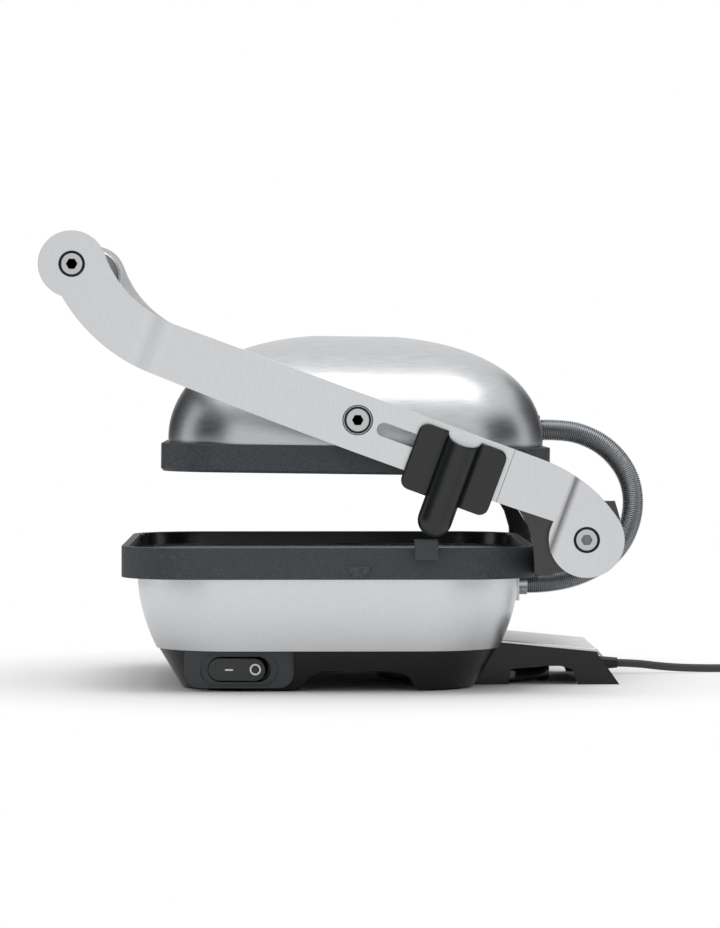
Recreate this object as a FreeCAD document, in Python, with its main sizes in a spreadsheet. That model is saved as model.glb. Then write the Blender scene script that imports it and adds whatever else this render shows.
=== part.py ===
"""Panini press: two hot plates, a floating lid on two arms, a hinge bracket and a height clip.

Frame: +Z up, the handle at -Y, the hinge and the mains cord at +Y, the switch on the +X side.
The origin lies on the counter under the middle of the lower plate. Lengths are millimetres.
"""
import FreeCAD, Part
import math
import os
import Sketcher
from FreeCAD import Placement, Rotation, Vector

doc = FreeCAD.newDocument("panini_press")

SIZES = {
    # plates
    "plate_width": 269.2, "plate_depth": 241.5, "plate_corner": 42.0,
    "plate_base": 66.1, "rim_height": 18.2, "rim_wall": 5.2, "plate_floor": 5.0, "dish_depth": 8.0,
    "upper_height": 16.4, "upper_drop": 31.5, "plate_play": 1.8, "rib_pitch": 12.0, "rib_groove": 3.0,
    # arms
    "arm_gap": 3.9, "arm_thick": 11.5, "arm_angle": 20.2, "arm_top": 15.3, "arm_low": 15.7,
    "arm_belly": 2.2,
    "arm_front_joggle": 3.5, "arm_rear_joggle": 2.5, "neck_radius": 66.3, "throat_radius": 101.0,
    "shoulder_radius": 86.5, "hinge_boss": 21.7, "grip_boss": 19.2, "grip_front": 62.9, "grip_rise": 27.3,
    # hinge
    "hinge_behind": 26.35, "hinge_height": 89.5, "hinge_drop": 19.1, "cheek_gap": 1.0, "cheek_thick": 10.5,
    # fasteners
    "bolt_head": 6.65, "pivot_head": 7.05, "head_ring": 0.75, "pivot_ring": 1.55, "head_thick": 3.4,
    "shank": 4.0, "bush_wall": 2.0, "running": 0.05, "screw_shank": 2.0, "screw_head": 3.6,
    # lid
    "dome_height": 65.0, "dome_inset_x": 7.6, "dome_inset_y": 4.0, "sheet_wall": 1.0, "lid_tilt": 0.75,
    "block_radius": 9.0,
    # height clip
    "slot_half": 3.9, "slot_front": 12.1, "clip_place": 60.5, "clip_length": 53.0, "clip_top": 12.5,
    "clip_bottom": 27.4, "clip_thick": 4.4, "clip_rise": 4.0, "clip_leg": 9.2, "leg_reach": 48.3,
    "clip_lift": 0.7, "post_gap": 1.0,
    # base
    "housing_base": 24.0, "housing_inset": 6.6, "housing_taper": 8.2, "housing_wall": 2.4,
    "tray_wall": 2.5, "leg_taper": 12.0, "tray_floor": 12.0, "foot_radius": 10.0, "boss_top": 7.0,
    # stand
    "stand_half": 56.0, "stand_front": 87.0, "stand_rear": 173.4, "stand_high": 26.6, "stand_wall": 3.0,
    "wrap_radius": 53.0, "wrap_thick": 7.0,
    # hose and cord
    "hose_radius": 6.5, "cord_radius": 2.5, "coil_mean": 28.0, "coil_tube": 8.0,
    # switch
    "rocker_length": 16.6, "rocker_high": 6.4, "rocker_angle": 7.5, "switch_place": -51.9,
    "switch_level": 12.9,
    # handle
    "grip_radius": 15.5, "rod_radius": 5.0,
}

sheet = doc.addObject("Spreadsheet::Sheet", "Sizes")
for row, (alias, amount) in enumerate(SIZES.items(), 1):
    sheet.set(f"A{row}", alias)
    sheet.set(f"B{row}", str(amount))
    sheet.setAlias(f"B{row}", alias)
doc.recompute()

CLEAR = 0.3      # between pieces that move apart
FIT = 0.05       # between pieces that are fitted together


def value(rule):
    """The number that a rule written on the sheet's aliases comes to."""
    amount = sheet.evalExpression(str(rule))
    return float(getattr(amount, "Value", amount))


def size(alias):
    return value("Sizes." + alias)


# ---------------------------------------------------------------- helpers

nodes = []


def finish(item, label):
    """Name a finished sub-part; its label is also its file's name."""
    item.Label = label
    nodes.append(item)
    return item


def primitive(kind, name, sizes, at=(0, 0, 0), turn=None):
    """A Part primitive whose sizes and place are rules on the sheet."""
    item = doc.addObject("Part::" + kind, name)
    for prop, rule in sizes.items():
        item.setExpression(prop, str(rule))
    item.Placement = Placement(Vector(0, 0, 0), turn or Rotation())
    for letter, rule in zip("xyz", at):
        item.setExpression("Placement.Base." + letter, str(rule))
    return item


def box(name, low, high):
    spans = [f"({b}) - ({a})" for a, b in zip(low, high)]
    return primitive("Box", name, dict(zip(("Length", "Width", "Height"), spans)), at=low)


ALONG_X = Rotation(Vector(0, 1, 0), 90)
ALONG_Y = Rotation(Vector(1, 0, 0), -90)


def rod(name, radius, length, at, turn=None):
    return primitive("Cylinder", name, {"Radius": radius, "Height": length}, at, turn)


def fuse(name, *items):
    item = doc.addObject("Part::MultiFuse", name)
    item.Shapes = list(items)
    item.Refine = True
    return item


def cut(name, base, *tools):
    item = doc.addObject("Part::Cut", name)
    item.Base = base
    item.Tool = tools[0] if len(tools) == 1 else fuse(name + "_tools", *tools)
    return item


def both_sides(name, item):
    """The piece and its mirror image across the X = 0 plane, as two solids of one node."""
    twin = doc.addObject("Part::Mirroring", name + "_twin")
    twin.Source = item
    twin.Normal = Vector(1, 0, 0)
    pair = doc.addObject("Part::Compound", name)
    pair.Links = [item, twin]
    return pair


def group(name, items):
    pack = doc.addObject("Part::Compound", name)
    pack.Links = list(items)
    return pack


def feature(name, shape):
    item = doc.addObject("Part::Feature", name)
    item.Shape = shape
    return item


def new_body(name):
    return doc.addObject("PartDesign::Body", name)


def new_sketch(body, name, role, offset):
    """A sketch on one of the body's origin planes, moved along the plane's normal by a rule."""
    sketch = body.newObject("Sketcher::SketchObject", name)
    plane = next(item for item in body.Origin.OriginFeatures if item.Role == role)
    sketch.AttachmentSupport = [(plane, "")]
    sketch.MapMode = "FlatFace"
    sketch.setExpression("AttachmentOffset.Base.z", str(offset))
    return sketch


def rounded_ring(body, name, width, depth, corner, level, middle=0.0):
    """A constrained rounded rectangle parallel to the counter, its sizes bound to the sheet."""
    sketch = new_sketch(body, name, "XY_Plane", level)
    sketch.setExpression("AttachmentOffset.Base.y", str(middle))
    half_w, half_d, r = value(width) / 2, value(depth) / 2, value(corner)
    corners = [(half_w - r, -half_d + r), (half_w - r, half_d - r), (-half_w + r, half_d - r),
               (-half_w + r, -half_d + r)]
    starts = [(-half_w + r, -half_d), (half_w, -half_d + r), (half_w - r, half_d), (-half_w, half_d - r)]
    ends = [(half_w - r, -half_d), (half_w, half_d - r), (-half_w + r, half_d), (-half_w, -half_d + r)]
    for side in range(4):
        sketch.addGeometry(Part.LineSegment(Vector(*starts[side], 0), Vector(*ends[side], 0)), False)
        circle = Part.Circle(Vector(*corners[side], 0), Vector(0, 0, 1), r)
        first = math.radians(-90 + 90 * side)
        sketch.addGeometry(Part.ArcOfCircle(circle, first, first + math.pi / 2), False)
    for edge in range(8):
        sketch.addConstraint(Sketcher.Constraint("Tangent", edge, 2, (edge + 1) % 8, 1))
    for side, word in ((0, "Horizontal"), (2, "Vertical"), (4, "Horizontal")):
        sketch.addConstraint(Sketcher.Constraint(word, side))
    for arc in (3, 5, 7):
        sketch.addConstraint(Sketcher.Constraint("Equal", 1, arc))
    sketch.addConstraint(Sketcher.Constraint("Symmetric", 0, 1, 4, 1, -1, 1))
    measures = (
        ("corner", Sketcher.Constraint("Radius", 1, r), corner),
        ("depth", Sketcher.Constraint("DistanceY", 0, 2, 4, 1, 2 * half_d), depth),
        ("width", Sketcher.Constraint("DistanceX", 6, 1, 2, 1, 2 * half_w), width),
    )
    for word, constraint, rule in measures:
        index = sketch.addConstraint(constraint)
        sketch.renameConstraint(index, word)
        sketch.setExpression("Constraints." + word, str(rule))
    return sketch


def pad(body, name, sketch, length, cut_away=False, backwards=False):
    kind = "PartDesign::Pocket" if cut_away else "PartDesign::Pad"
    item = body.newObject(kind, name)
    item.Profile = sketch
    item.setExpression("Length", str(length))
    item.Reversed = backwards
    return item


def loft(body, name, sketches, cut_away=False):
    kind = "PartDesign::SubtractiveLoft" if cut_away else "PartDesign::AdditiveLoft"
    item = body.newObject(kind, name)
    item.Profile = sketches[0]
    item.Sections = sketches[1:]
    return item


def tapered(name, sections, middle=0.0):
    """A PartDesign body lofted through rounded rectangles: (width, depth, corner, level) rules."""
    body = new_body(name)
    rings = [rounded_ring(body, f"{name}_ring{i}", *section, middle) for i, section in enumerate(sections)]
    loft(body, name + "_loft", rings)
    return body


def wire_of(points):
    return Part.makePolygon([Vector(*point) for point in points + [points[0]]])


def prism(name, points, direction):
    """A prism on a closed polygon of 3-D points."""
    return feature(name, Part.Face(wire_of(points)).extrude(Vector(*direction)))


def tube_path(points, share=0.45):
    """Straight runs joined by tangent arcs, each as large as its two runs allow."""
    corners = [Vector(*point) for point in points]
    edges, start, radii = [], corners[0], []
    for before, corner, after in zip(corners, corners[1:], corners[2:]):
        back, ahead = before - corner, after - corner
        turn = math.pi - back.getAngle(ahead)
        trim = share * min(back.Length, ahead.Length)
        radii.append(trim / math.tan(turn / 2))
        a = corner + back.normalize() * trim
        b = corner + ahead.normalize() * trim
        inward = (back + ahead).normalize()
        middle = corner + inward * (radii[-1] / math.cos(turn / 2) - radii[-1])
        if (a - start).Length > 1e-6:
            edges.append(Part.LineSegment(start, a).toShape())
        edges.append(Part.Arc(a, middle, b).toShape())
        start = b
    edges.append(Part.LineSegment(start, corners[-1]).toShape())
    return Part.Wire(edges), radii


def tube(name, points, radius, share=0.45):
    path, radii = tube_path(points, share)
    first = path.Edges[0]
    along = first.tangentAt(first.FirstParameter)
    ring = Part.Wire(Part.makeCircle(radius, Vector(*points[0]), along))
    shape = path.makePipeShell([ring], True, False)
    expected = math.pi * radius ** 2 * path.Length
    if abs(shape.Volume - expected) > 0.01 * expected:
        raise ValueError(f"{name}: tube volume {shape.Volume:.0f}, expected {expected:.0f}")
    print(name, "length", round(path.Length, 1), "radii", [round(r, 1) for r in radii])
    return feature(name, shape)


# ---------------------------------------------------------------- places worked out from the sheet

PLATE_X = "Sizes.plate_width / 2"
ARM_IN = "(Sizes.plate_width / 2 + Sizes.arm_gap)"
ARM_OUT = f"({ARM_IN} + Sizes.arm_thick)"
ARM_FACE = f"({ARM_OUT} - Sizes.arm_front_joggle)"
CHEEK_OUT = f"({ARM_IN} - Sizes.cheek_gap)"
CHEEK_IN = f"({CHEEK_OUT} - Sizes.cheek_thick)"

hinge_y = size("plate_depth") / 2 + size("hinge_behind")
hinge_z = size("hinge_height")
slope = math.radians(size("arm_angle"))
forward = Vector(0, -math.cos(slope), math.sin(slope))
upward = Vector(0, math.sin(slope), math.cos(slope))
hinge_back = hinge_y - 0.7                      # the closed pivot then stands over the plate's middle
pivot = Vector(0, hinge_y, hinge_z) + forward * hinge_back + upward * size("hinge_drop")
grip_ahead = size("plate_depth") / 2 + size("grip_front")
grip = pivot + forward * grip_ahead + upward * size("grip_rise")


def on_arm(s, n, x=0.0):
    """A point of the arm's own frame: s forward from the lid pivot, n square to the arm."""
    return pivot + forward * s + upward * n + Vector(x, 0, 0)


def at(point, x):
    """Placement rules for a cylinder that lies along X and starts at x."""
    return (x, point.y, point.z)


# ---------------------------------------------------------------- lower plate

def make_lower_plate():
    body = new_body("lower_plate_body")
    rim_top = "Sizes.plate_base + Sizes.rim_height"
    outer = rounded_ring(body, "rim", "Sizes.plate_width", "Sizes.plate_depth", "Sizes.plate_corner",
                         "Sizes.plate_base")
    pad(body, "rim_pad", outer, "Sizes.rim_height")
    mouth = rounded_ring(body, "dish_mouth", "Sizes.plate_width - 2 * Sizes.rim_wall",
                         "Sizes.plate_depth - 2 * Sizes.rim_wall + 1.4",
                         "Sizes.plate_corner - Sizes.rim_wall", rim_top)
    sole = rounded_ring(body, "dish_sole", "Sizes.plate_width - 2 * Sizes.rim_wall - 2",
                        "Sizes.plate_depth - 2 * Sizes.rim_wall - 0.6",
                        "Sizes.plate_corner - Sizes.rim_wall - 1",
                        f"{rim_top} - Sizes.dish_depth")
    loft(body, "dish", [mouth, sole], cut_away=True)
    under = rounded_ring(body, "underside", "Sizes.plate_width - 26", "Sizes.plate_depth - 26",
                         "Sizes.plate_corner - 13", "Sizes.plate_base")
    pad(body, "underside_pocket", under, "Sizes.rim_height - Sizes.dish_depth - Sizes.plate_floor",
        cut_away=True, backwards=True)
    post_low = on_arm(-size("clip_place") - 4.2, -61.5)
    post = box("clip_post", (f"{PLATE_X} - 1", post_low.y - 6.7, post_low.z),
               (f"{ARM_FACE} + Sizes.clip_lift - Sizes.post_gap", post_low.y + 6.7,
                "Sizes.plate_base + Sizes.rim_height + 5.2"))
    lock = rod("storage_catch", 6.8, 2.6, (f"{PLATE_X} - 1", 17.2, f"{rim_top} - 10.4"), ALONG_X)
    lock_cap = box("storage_catch_cap", (f"{PLATE_X} - 2", 5, f"{rim_top} - 10.4"),
                   (f"{PLATE_X} + 3", 30, f"{rim_top} - 2"))
    catch = cut("storage_catch_half", lock, lock_cap)
    posts = []
    for x, y in leg_spots():
        posts.append(rod("plate_post", "5", f"{rim_top} - Sizes.dish_depth - 2 - (Sizes.boss_top)",
                         (x, y, "Sizes.boss_top")))
    solid = fuse("lower_plate_blank", body, post, catch, *posts)
    holes = [rod("post_hole", f"Sizes.screw_shank + {FIT}", "18", (x, y, "Sizes.boss_top - 1")) for x,
             y in leg_spots()]
    finish(cut("lower_plate_solid", solid, *holes), "lower_plate")


def leg_spots():
    """Where the four screws, feet and plate posts stand."""
    x = size("plate_width") / 2 - 56.6
    return [(sx * x, y) for sx in (-1, 1) for y in (-size("plate_depth") / 2 + 68.8,
                                                    size("plate_depth") / 2 - 51.3)]


# ---------------------------------------------------------------- housing and tray

HOUSING_W = "(Sizes.plate_width - 2 * Sizes.housing_inset)"
HOUSING_D = "(Sizes.plate_depth - 2 * Sizes.housing_inset - 4.7)"
HOUSING_R = "(Sizes.plate_corner + 8)"
HOUSING_TOP = f"(Sizes.plate_base - {FIT})"
HOSE_LOW = "(Sizes.plate_base - 8.2)"


def housing_sections(inset):
    """The housing curves in towards the tray; inset is the wall taken off all round."""
    steps = ((1.0, 0.0), (0.52, 0.26), (0.24, 0.60), (0.0, 1.0))
    rows = []
    for share, taper in steps:
        less = f"2 * ({inset} + {taper} * Sizes.housing_taper)"
        rows.append((f"{HOUSING_W} - {less}", f"{HOUSING_D} - {less} - {taper * 5.5}",
                     f"{HOUSING_R} - {inset} - {taper * 4}",
                     f"Sizes.housing_base + {share} * ({HOUSING_TOP} - Sizes.housing_base)"))
    return rows


def make_housing():
    body = new_body("housing_body")
    outer = [rounded_ring(body, f"housing_out{i}", *row) for i, row in enumerate(housing_sections(0))]
    loft(body, "housing_skin", outer)
    inner = [rounded_ring(body, f"housing_in{i}", *row) for i,
             row in enumerate(housing_sections("Sizes.housing_wall"))]
    loft(body, "housing_hollow", inner, cut_away=True)
    hose_hole = rod("housing_hose_hole", f"Sizes.hose_radius + {FIT}", "40",
                    (0, f"{HOUSING_D} / 2 - 20", HOSE_LOW), ALONG_Y)
    finish(cut("housing_solid", body, hose_hole), "lower_housing")


def tray_sections(inset, top, bottom):
    rows = []
    for share in (1.0, 0.0):
        less = f"2 * ({inset} + {1 - share} * Sizes.leg_taper)"
        rows.append((f"{HOUSING_W} - 2 * Sizes.housing_taper - {less}",
                     f"{HOUSING_D} - 2 * Sizes.housing_taper - 8 - {less} - {(1 - share) * 3}",
                     f"{HOUSING_R} - 4 - {inset} - {(1 - share) * 6}",
                     top if share else bottom))
    return rows


def arch(name, grow, level):
    """The two tunnels between the legs; grow widens them for the inner wall."""
    front, rear = -size("plate_depth") / 2 + 102.5, size("plate_depth") / 2 - 67.2
    half, lean = size("plate_width") / 2, 7.0
    side = [(0, front - grow, -1), (0, front + lean - grow, level * 0.7),
            (0, front + lean + 7 - grow, level),
            (0, rear - lean - 7 + grow, level), (0, rear - lean + grow, level * 0.7), (0, rear + grow, -1)]
    across = prism(name + "_across", [(-half, y, z) for _, y, z in side], (2 * half, 0, 0))
    inner = size("stand_half") + 4
    ends = [(-inner - grow, 0, -1), (-inner + 5 - grow, 0, level - 1), (inner - 5 + grow, 0, level - 1),
            (inner + grow, 0, -1)]
    deep = size("plate_depth") / 2
    along = prism(name + "_along", [(x, -deep, z) for x, _, z in ends], (0, 2 * deep, 0))
    return fuse(name, across, along)


def make_tray():
    top, base = f"(Sizes.housing_base - {FIT})", 1.0
    outer = tapered("tray_outer", tray_sections(0, top, base))
    arches = arch("tray_arches", 0, size("tray_floor"))
    back = size("stand_front") - FIT
    notch = box("stand_notch", (f"-Sizes.stand_half - {CLEAR}", back, -1),
                (f"Sizes.stand_half + {CLEAR}", "Sizes.plate_depth", "Sizes.housing_base + 1"))
    blank = cut("tray_blank", outer, arches, notch)
    inner = tapered("tray_inner", tray_sections("Sizes.tray_wall", "Sizes.housing_base + 1",
                                                "1 + Sizes.tray_wall"))
    floor = arch("floor_arches", size("tray_wall"), size("tray_floor") + size("tray_wall"))
    inner_notch = box("inner_notch", (f"-Sizes.stand_half - {CLEAR} - Sizes.tray_wall",
                                      back - size("tray_wall"), -1),
                      (f"Sizes.stand_half + {CLEAR} + Sizes.tray_wall", "Sizes.plate_depth",
                       "Sizes.housing_base + 2"))
    hollow = cut("tray_hollow", inner, floor, inner_notch)
    shell = cut("tray_shell", blank, hollow)
    pads, seats, bores = [], [], []
    for x, y in leg_spots():
        pads.append(rod("foot_boss", "Sizes.foot_radius + 3", f"Sizes.boss_top - {FIT} - 1.5", (x, y, 1.5)))
        seats.append(rod("foot_seat", f"Sizes.foot_radius + {FIT}", "5", (x, y, -1)))
        bores.append(rod("foot_bore", f"Sizes.screw_shank + {FIT}", "20", (x, y, -1)))
    solid = fuse("tray_with_bosses", shell, *pads)
    start = size("plate_width") / 2 - 48.6
    window = prism("switch_window", [(start, a, b) for a, b in panel_outline(FIT)], (54, 0, 0))
    lights = [rod("light_hole", f"3 + {FIT}", "36", (x, "-Sizes.plate_depth / 2", 17.5),
                  ALONG_Y) for x in (-10, 10)]
    finish(cut("tray_solid", solid, *seats, *bores, window, *lights), "base_tray")


def make_feet():
    feet, screws = [], []
    for x, y in leg_spots():
        pad_solid = rod("foot", "Sizes.foot_radius", f"4 - {FIT}", (x, y, 0))
        pocket = rod("foot_pocket", "Sizes.screw_head + 0.4", "4", (x, y, 1.5))
        feet.append(cut("rubber_foot", pad_solid, pocket))
        head = rod("base_screw_head", "Sizes.screw_head", f"2.2 - {FIT}", (x, y, 1.8))
        stem = rod("base_screw_stem", "Sizes.screw_shank", "18", (x, y, 2))
        socket = rod("base_screw_socket", "1.2", "1.2", (x, y, 1.5))
        screws.append(cut("base_screw", fuse("base_screw_blank", head, stem), socket))
    finish(group("feet", feet), "rubber_feet")
    finish(group("tray_screws", screws), "base_screws")


def make_lights():
    for x, label in ((-10, "power_light"), (10, "ready_light")):
        lens = rod(label + "_lens", "3", "9", (x, -size("plate_depth") / 2 + 23.7, 17.5), ALONG_Y)
        flange = rod(label + "_flange", "3.8", "1.5", (x, -size("plate_depth") / 2 + 31.2, 17.5), ALONG_Y)
        finish(fuse(label + "_solid", lens, flange), label)


# ---------------------------------------------------------------- switch

def corner_arc(y, z, radius, first, steps=6):
    """Points of a quarter circle, starting at an angle in degrees."""
    angles = [math.radians(first + 90 * i / steps) for i in range(steps + 1)]
    return [(y + radius * math.cos(angle), z + radius * math.sin(angle)) for angle in angles]


def panel_outline(grow):
    """The switch panel from the side: a square top and two round lower corners."""
    y, half, low, radius = size("switch_place"), 31.9 + grow, 2.0 - grow, 9.0
    top = size("housing_base") - 0.3 + 4 * grow
    points = [(y + half, top), (y - half, top)]
    points += corner_arc(y - half + radius, low + radius, radius, 180)
    points += corner_arc(y + half - radius, low + radius, radius, 270)
    return points


def make_switch():
    y, z = size("switch_place"), size("switch_level")
    face = size("plate_width") / 2 - 24.4                     # outer plane of the panel
    turn, length, high = size("rocker_angle"), size("rocker_length"), size("rocker_high")
    half = length + 1.6
    tall = high + 0.9

    def stadium(name, half_long, half_tall, low, high_x):
        span = half_long - half_tall
        middle = box(name + "_mid", (low, y - span, z - half_tall), (high_x, y + span, z + half_tall))
        caps = [rod(name + "_cap", half_tall, f"({high_x}) - ({low})", (low, y + side * span, z),
                    ALONG_X) for side in (-1, 1)]
        return fuse(name, middle, *caps)

    frame = prism("panel_block", [(face - 3.5, a, b) for a, b in panel_outline(0)], (3.5, 0, 0))
    dish = stadium("panel_dish", half + 4.5, tall + 2.2, face - 1.5, face + 1)
    window = stadium("panel_window", half, tall, face - 6, face + 1)
    finish(cut("panel_solid", frame, dish, window), "switch_panel")

    block = box("switch_block", (face - 24, y - half - 2, z - tall - 1.6),
                (face - 3.5 - FIT, y + half + 2, z + tall + 1.6))
    well = stadium("switch_well", half, tall, face - 16, face)
    axle_x = face - 9.0
    axle_hole = rod("axle_hole", 1.5 + size("running"), 2 * tall + 2, (axle_x, y, z - tall - 1))
    blades = [box("switch_blade", (face - 31, y + dy - 2.4, z - 0.4),
                  (face - 24, y + dy + 2.4, z + 0.4)) for dy in (-14, -8.4, 12)]
    finish(fuse("switch_solid", cut("switch_shell", block, well, axle_hole), *blades), "switch_body")

    # the rocker is drawn level, with a shallow V across its face, then tipped to its rest
    rocker = stadium("rocker_blank", length, high, face - 11, face + 2.6)
    vee = [(face + 8, y - 30, z - 20), (face + 3.4, y - 30, z - 20), (face + 0.6, y, z - 20),
           (face + 3.4, y + 30, z - 20),
           (face + 8, y + 30, z - 20)]
    notch = prism("rocker_vee", vee, (0, 0, 40))
    axle = rod("rocker_axle", 1.5, 2 * tall + 1.6, (axle_x, y, z - tall - 0.8))
    solid = cut("rocker_solid", fuse("rocker_with_axle", rocker, axle), notch)
    centre = Vector(axle_x, y, z)
    solid.Placement = Placement(Vector(0, 0, 0), Rotation(Vector(0, 0, 1), -turn), centre)
    finish(solid, "power_rocker")


# ---------------------------------------------------------------- inside the base

def ring_tube(name, half_x, half_y, corner, radius, level, open_gap):
    """A bent heating rod: a rounded loop, open at the rear where its two tails come out."""
    points = [(-open_gap, half_y + 8, level), (-open_gap, half_y - 6, level), (-half_x, half_y - 6, level),
              (-half_x, -half_y, level),
              (half_x, -half_y, level), (half_x, half_y - 6, level), (open_gap, half_y - 6, level),
              (open_gap, half_y + 8, level)]
    corners = [Vector(*point) for point in points]
    edges, start = [], corners[0]
    for before, here, after in zip(corners, corners[1:], corners[2:]):
        r = min(corner, 0.45 * min((before - here).Length, (after - here).Length))
        back, ahead = (before - here).normalize(), (after - here).normalize()
        a, b = here + back * r, here + ahead * r
        middle = here + (back + ahead).normalize() * (r * (math.sqrt(2) - 1))
        edges += [Part.LineSegment(start, a).toShape(), Part.Arc(a, middle, b).toShape()]
        start = b
    edges.append(Part.LineSegment(start, corners[-1]).toShape())
    path = Part.Wire(edges)
    along = edges[0].tangentAt(edges[0].FirstParameter)
    ring = Part.Wire(Part.makeCircle(radius, corners[0], along))
    return feature(name, path.makePipeShell([ring], True, False))


def make_base_inside():
    under = size("plate_base") + size("rim_height") - size("dish_depth") - size("plate_floor")
    half_x, half_y = size("plate_width") / 2 - 34, size("plate_depth") / 2 - 32
    element = ring_tube("lower_heater", half_x, half_y, 26, 3.4, under - 3.4 - FIT, 22)
    finish(element, "lower_element")
    sheet_z = under - 15
    pan = rounded_pan("lower_pan", "Sizes.plate_width - 25.8", "Sizes.plate_depth - 31", sheet_z, 1.0)
    holes = [rod("pan_hole", "5.3", "6", (x, y, sheet_z - 2)) for x, y in leg_spots()]
    rise = rod("pan_slot", "9", "6", (0, half_y - 20, sheet_z - 2))
    finish(cut("lower_pan_solid", pan, *holes, rise), "lower_reflector")
    finish(fuse("lower_thermostat_solid", rod("stat_body", "9", "8", (0, -20, under - 8 - FIT)),
                rod("stat_neck", "4", "4", (0, -20, under - 12 - FIT))), "lower_thermostat")
    fuse_can = rod("fuse_can", "3", "16", (-8, 30, under - 3 - FIT), ALONG_X)
    fuse_tails = rod("fuse_tails", "0.6", "30", (-15, 30, under - 3 - FIT), ALONG_X)
    finish(fuse("thermal_fuse_solid", fuse_can, fuse_tails), "thermal_fuse")
    floor = size("tray_floor") + size("tray_wall")
    finish(box("terminal_solid", (-18, 8, floor + FIT), (18, 26, floor + 14)), "terminal_block")
    face = size("plate_width") / 2 - 24.4
    y, z = size("switch_place"), size("switch_level")
    leads = []
    for i, dy in enumerate((-8.4, 12)):
        run = [(face - 31.2, y + dy, z + 0.2), (face - 42, y + dy + 4, z + 4), (44, y + 30, 21 + i * 4),
               (30, 12 + 8 * i, 22 + i), (18.4, 12 + 8 * i, 22)]
        leads.append(tube(f"switch_lead_{i}", run, 1.4))
    rise = [(-18.4, 18, 22), (-32, 19, 22.5), (-38, 44, 32), (-26, half_y - 14, 40), (-6, half_y - 20, 44),
            (0, half_y - 20, under - 8)]
    riser = tube("heater_lead", rise, 1.4)
    finish(group("wires", leads + [riser]), "base_wiring")


def rounded_pan(name, width, depth, level, thick):
    body = new_body(name)
    ring = rounded_ring(body, name + "_ring", width, depth, "Sizes.plate_corner + 3", level)
    pad(body, name + "_pad", ring, thick)
    return body


# ---------------------------------------------------------------- rear stand

def stand_profile(shrink, top_drop=0.0):
    """Side view of the stand in the Y-Z plane; shrink moves the walls inwards."""
    front, rear, high = size("stand_front"), size("stand_rear"), size("stand_high")
    toe, heel = rear - 24.1, rear - 13.7
    step = size("housing_base") - 0.3
    lip = size("plate_depth") / 2 - 18.0
    return [(front + shrink, 0 if not shrink else -1), (front + shrink, step - shrink),
            (lip + shrink, step - shrink),
            (lip + shrink, high - shrink - top_drop), (heel - 0.6 * shrink, high - 5.4 - shrink - top_drop),
            (rear - shrink, 0 if not shrink else -1)], toe


def make_stand():
    half, wall, high = size("stand_half"), size("stand_wall"), size("stand_high")
    skin = 2.0                                              # the silver cover lies in this step
    points, toe = stand_profile(0, skin)
    solid = prism("stand_solid", [(-half, y, z) for y, z in points], (2 * half, 0, 0))
    inner, _ = stand_profile(wall, skin)
    hollow = prism("stand_hollow", [(-half + wall, y, z) for y, z in inner], (2 * (half - wall), 0, 0))
    front = size("stand_front")
    gap_points = [(front + 20, -1), (front + 22, 9), (front + 25, 11), (toe - 11, 11), (toe - 4, 9),
                  (toe, -1)]
    side_gap = prism("stand_gap", [(-half - 1, y, z) for y, z in gap_points], (2 * half + 2, 0, 0))
    wrap_y = front - 5
    clearance = rod("wrap_clearance", f"Sizes.wrap_radius + {CLEAR}", "9.0", (0, wrap_y, -0.5))
    shell = cut("stand_shell", solid, hollow, side_gap, clearance)
    gland_hole = rod("gland_hole", f"4.5 + {FIT}", "30", (-38, size("stand_rear") - 20, 6.6), ALONG_Y)
    finish(cut("rear_stand_solid", shell, gland_hole), "rear_stand")

    lip = size("plate_depth") / 2 - 18.0
    heel = size("stand_rear") - 13.7
    cover = [(lip, high - skin + FIT), (lip, high), (heel, high - 5.4), (heel + 4.2, high - 10.2),
             (heel + 2.3, high - 9.8), (heel + 0.1, high - 5.4 - skin + FIT)]
    finish(prism("stand_cover", [(-half, y, z) for y, z in cover], (2 * half, 0, 0)), "rear_stand_cover")

    disc = rod("wrap_disc", "Sizes.wrap_radius", "Sizes.wrap_thick", (0, wrap_y, 1.5))
    stub = rod("wrap_stub", "4.9", f"Sizes.tray_floor - 1 - {FIT} - 8.4", (0, wrap_y, 8.4))
    finish(fuse("wrap_solid", disc, stub), "cord_wrap_disc")


# ---------------------------------------------------------------- hinge

def arc3(a, b, c):
    return Part.Arc(Vector(*a, 0), Vector(*b, 0), Vector(*c, 0))


def line2(a, b):
    return Part.LineSegment(Vector(*a, 0), Vector(*b, 0))


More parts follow.
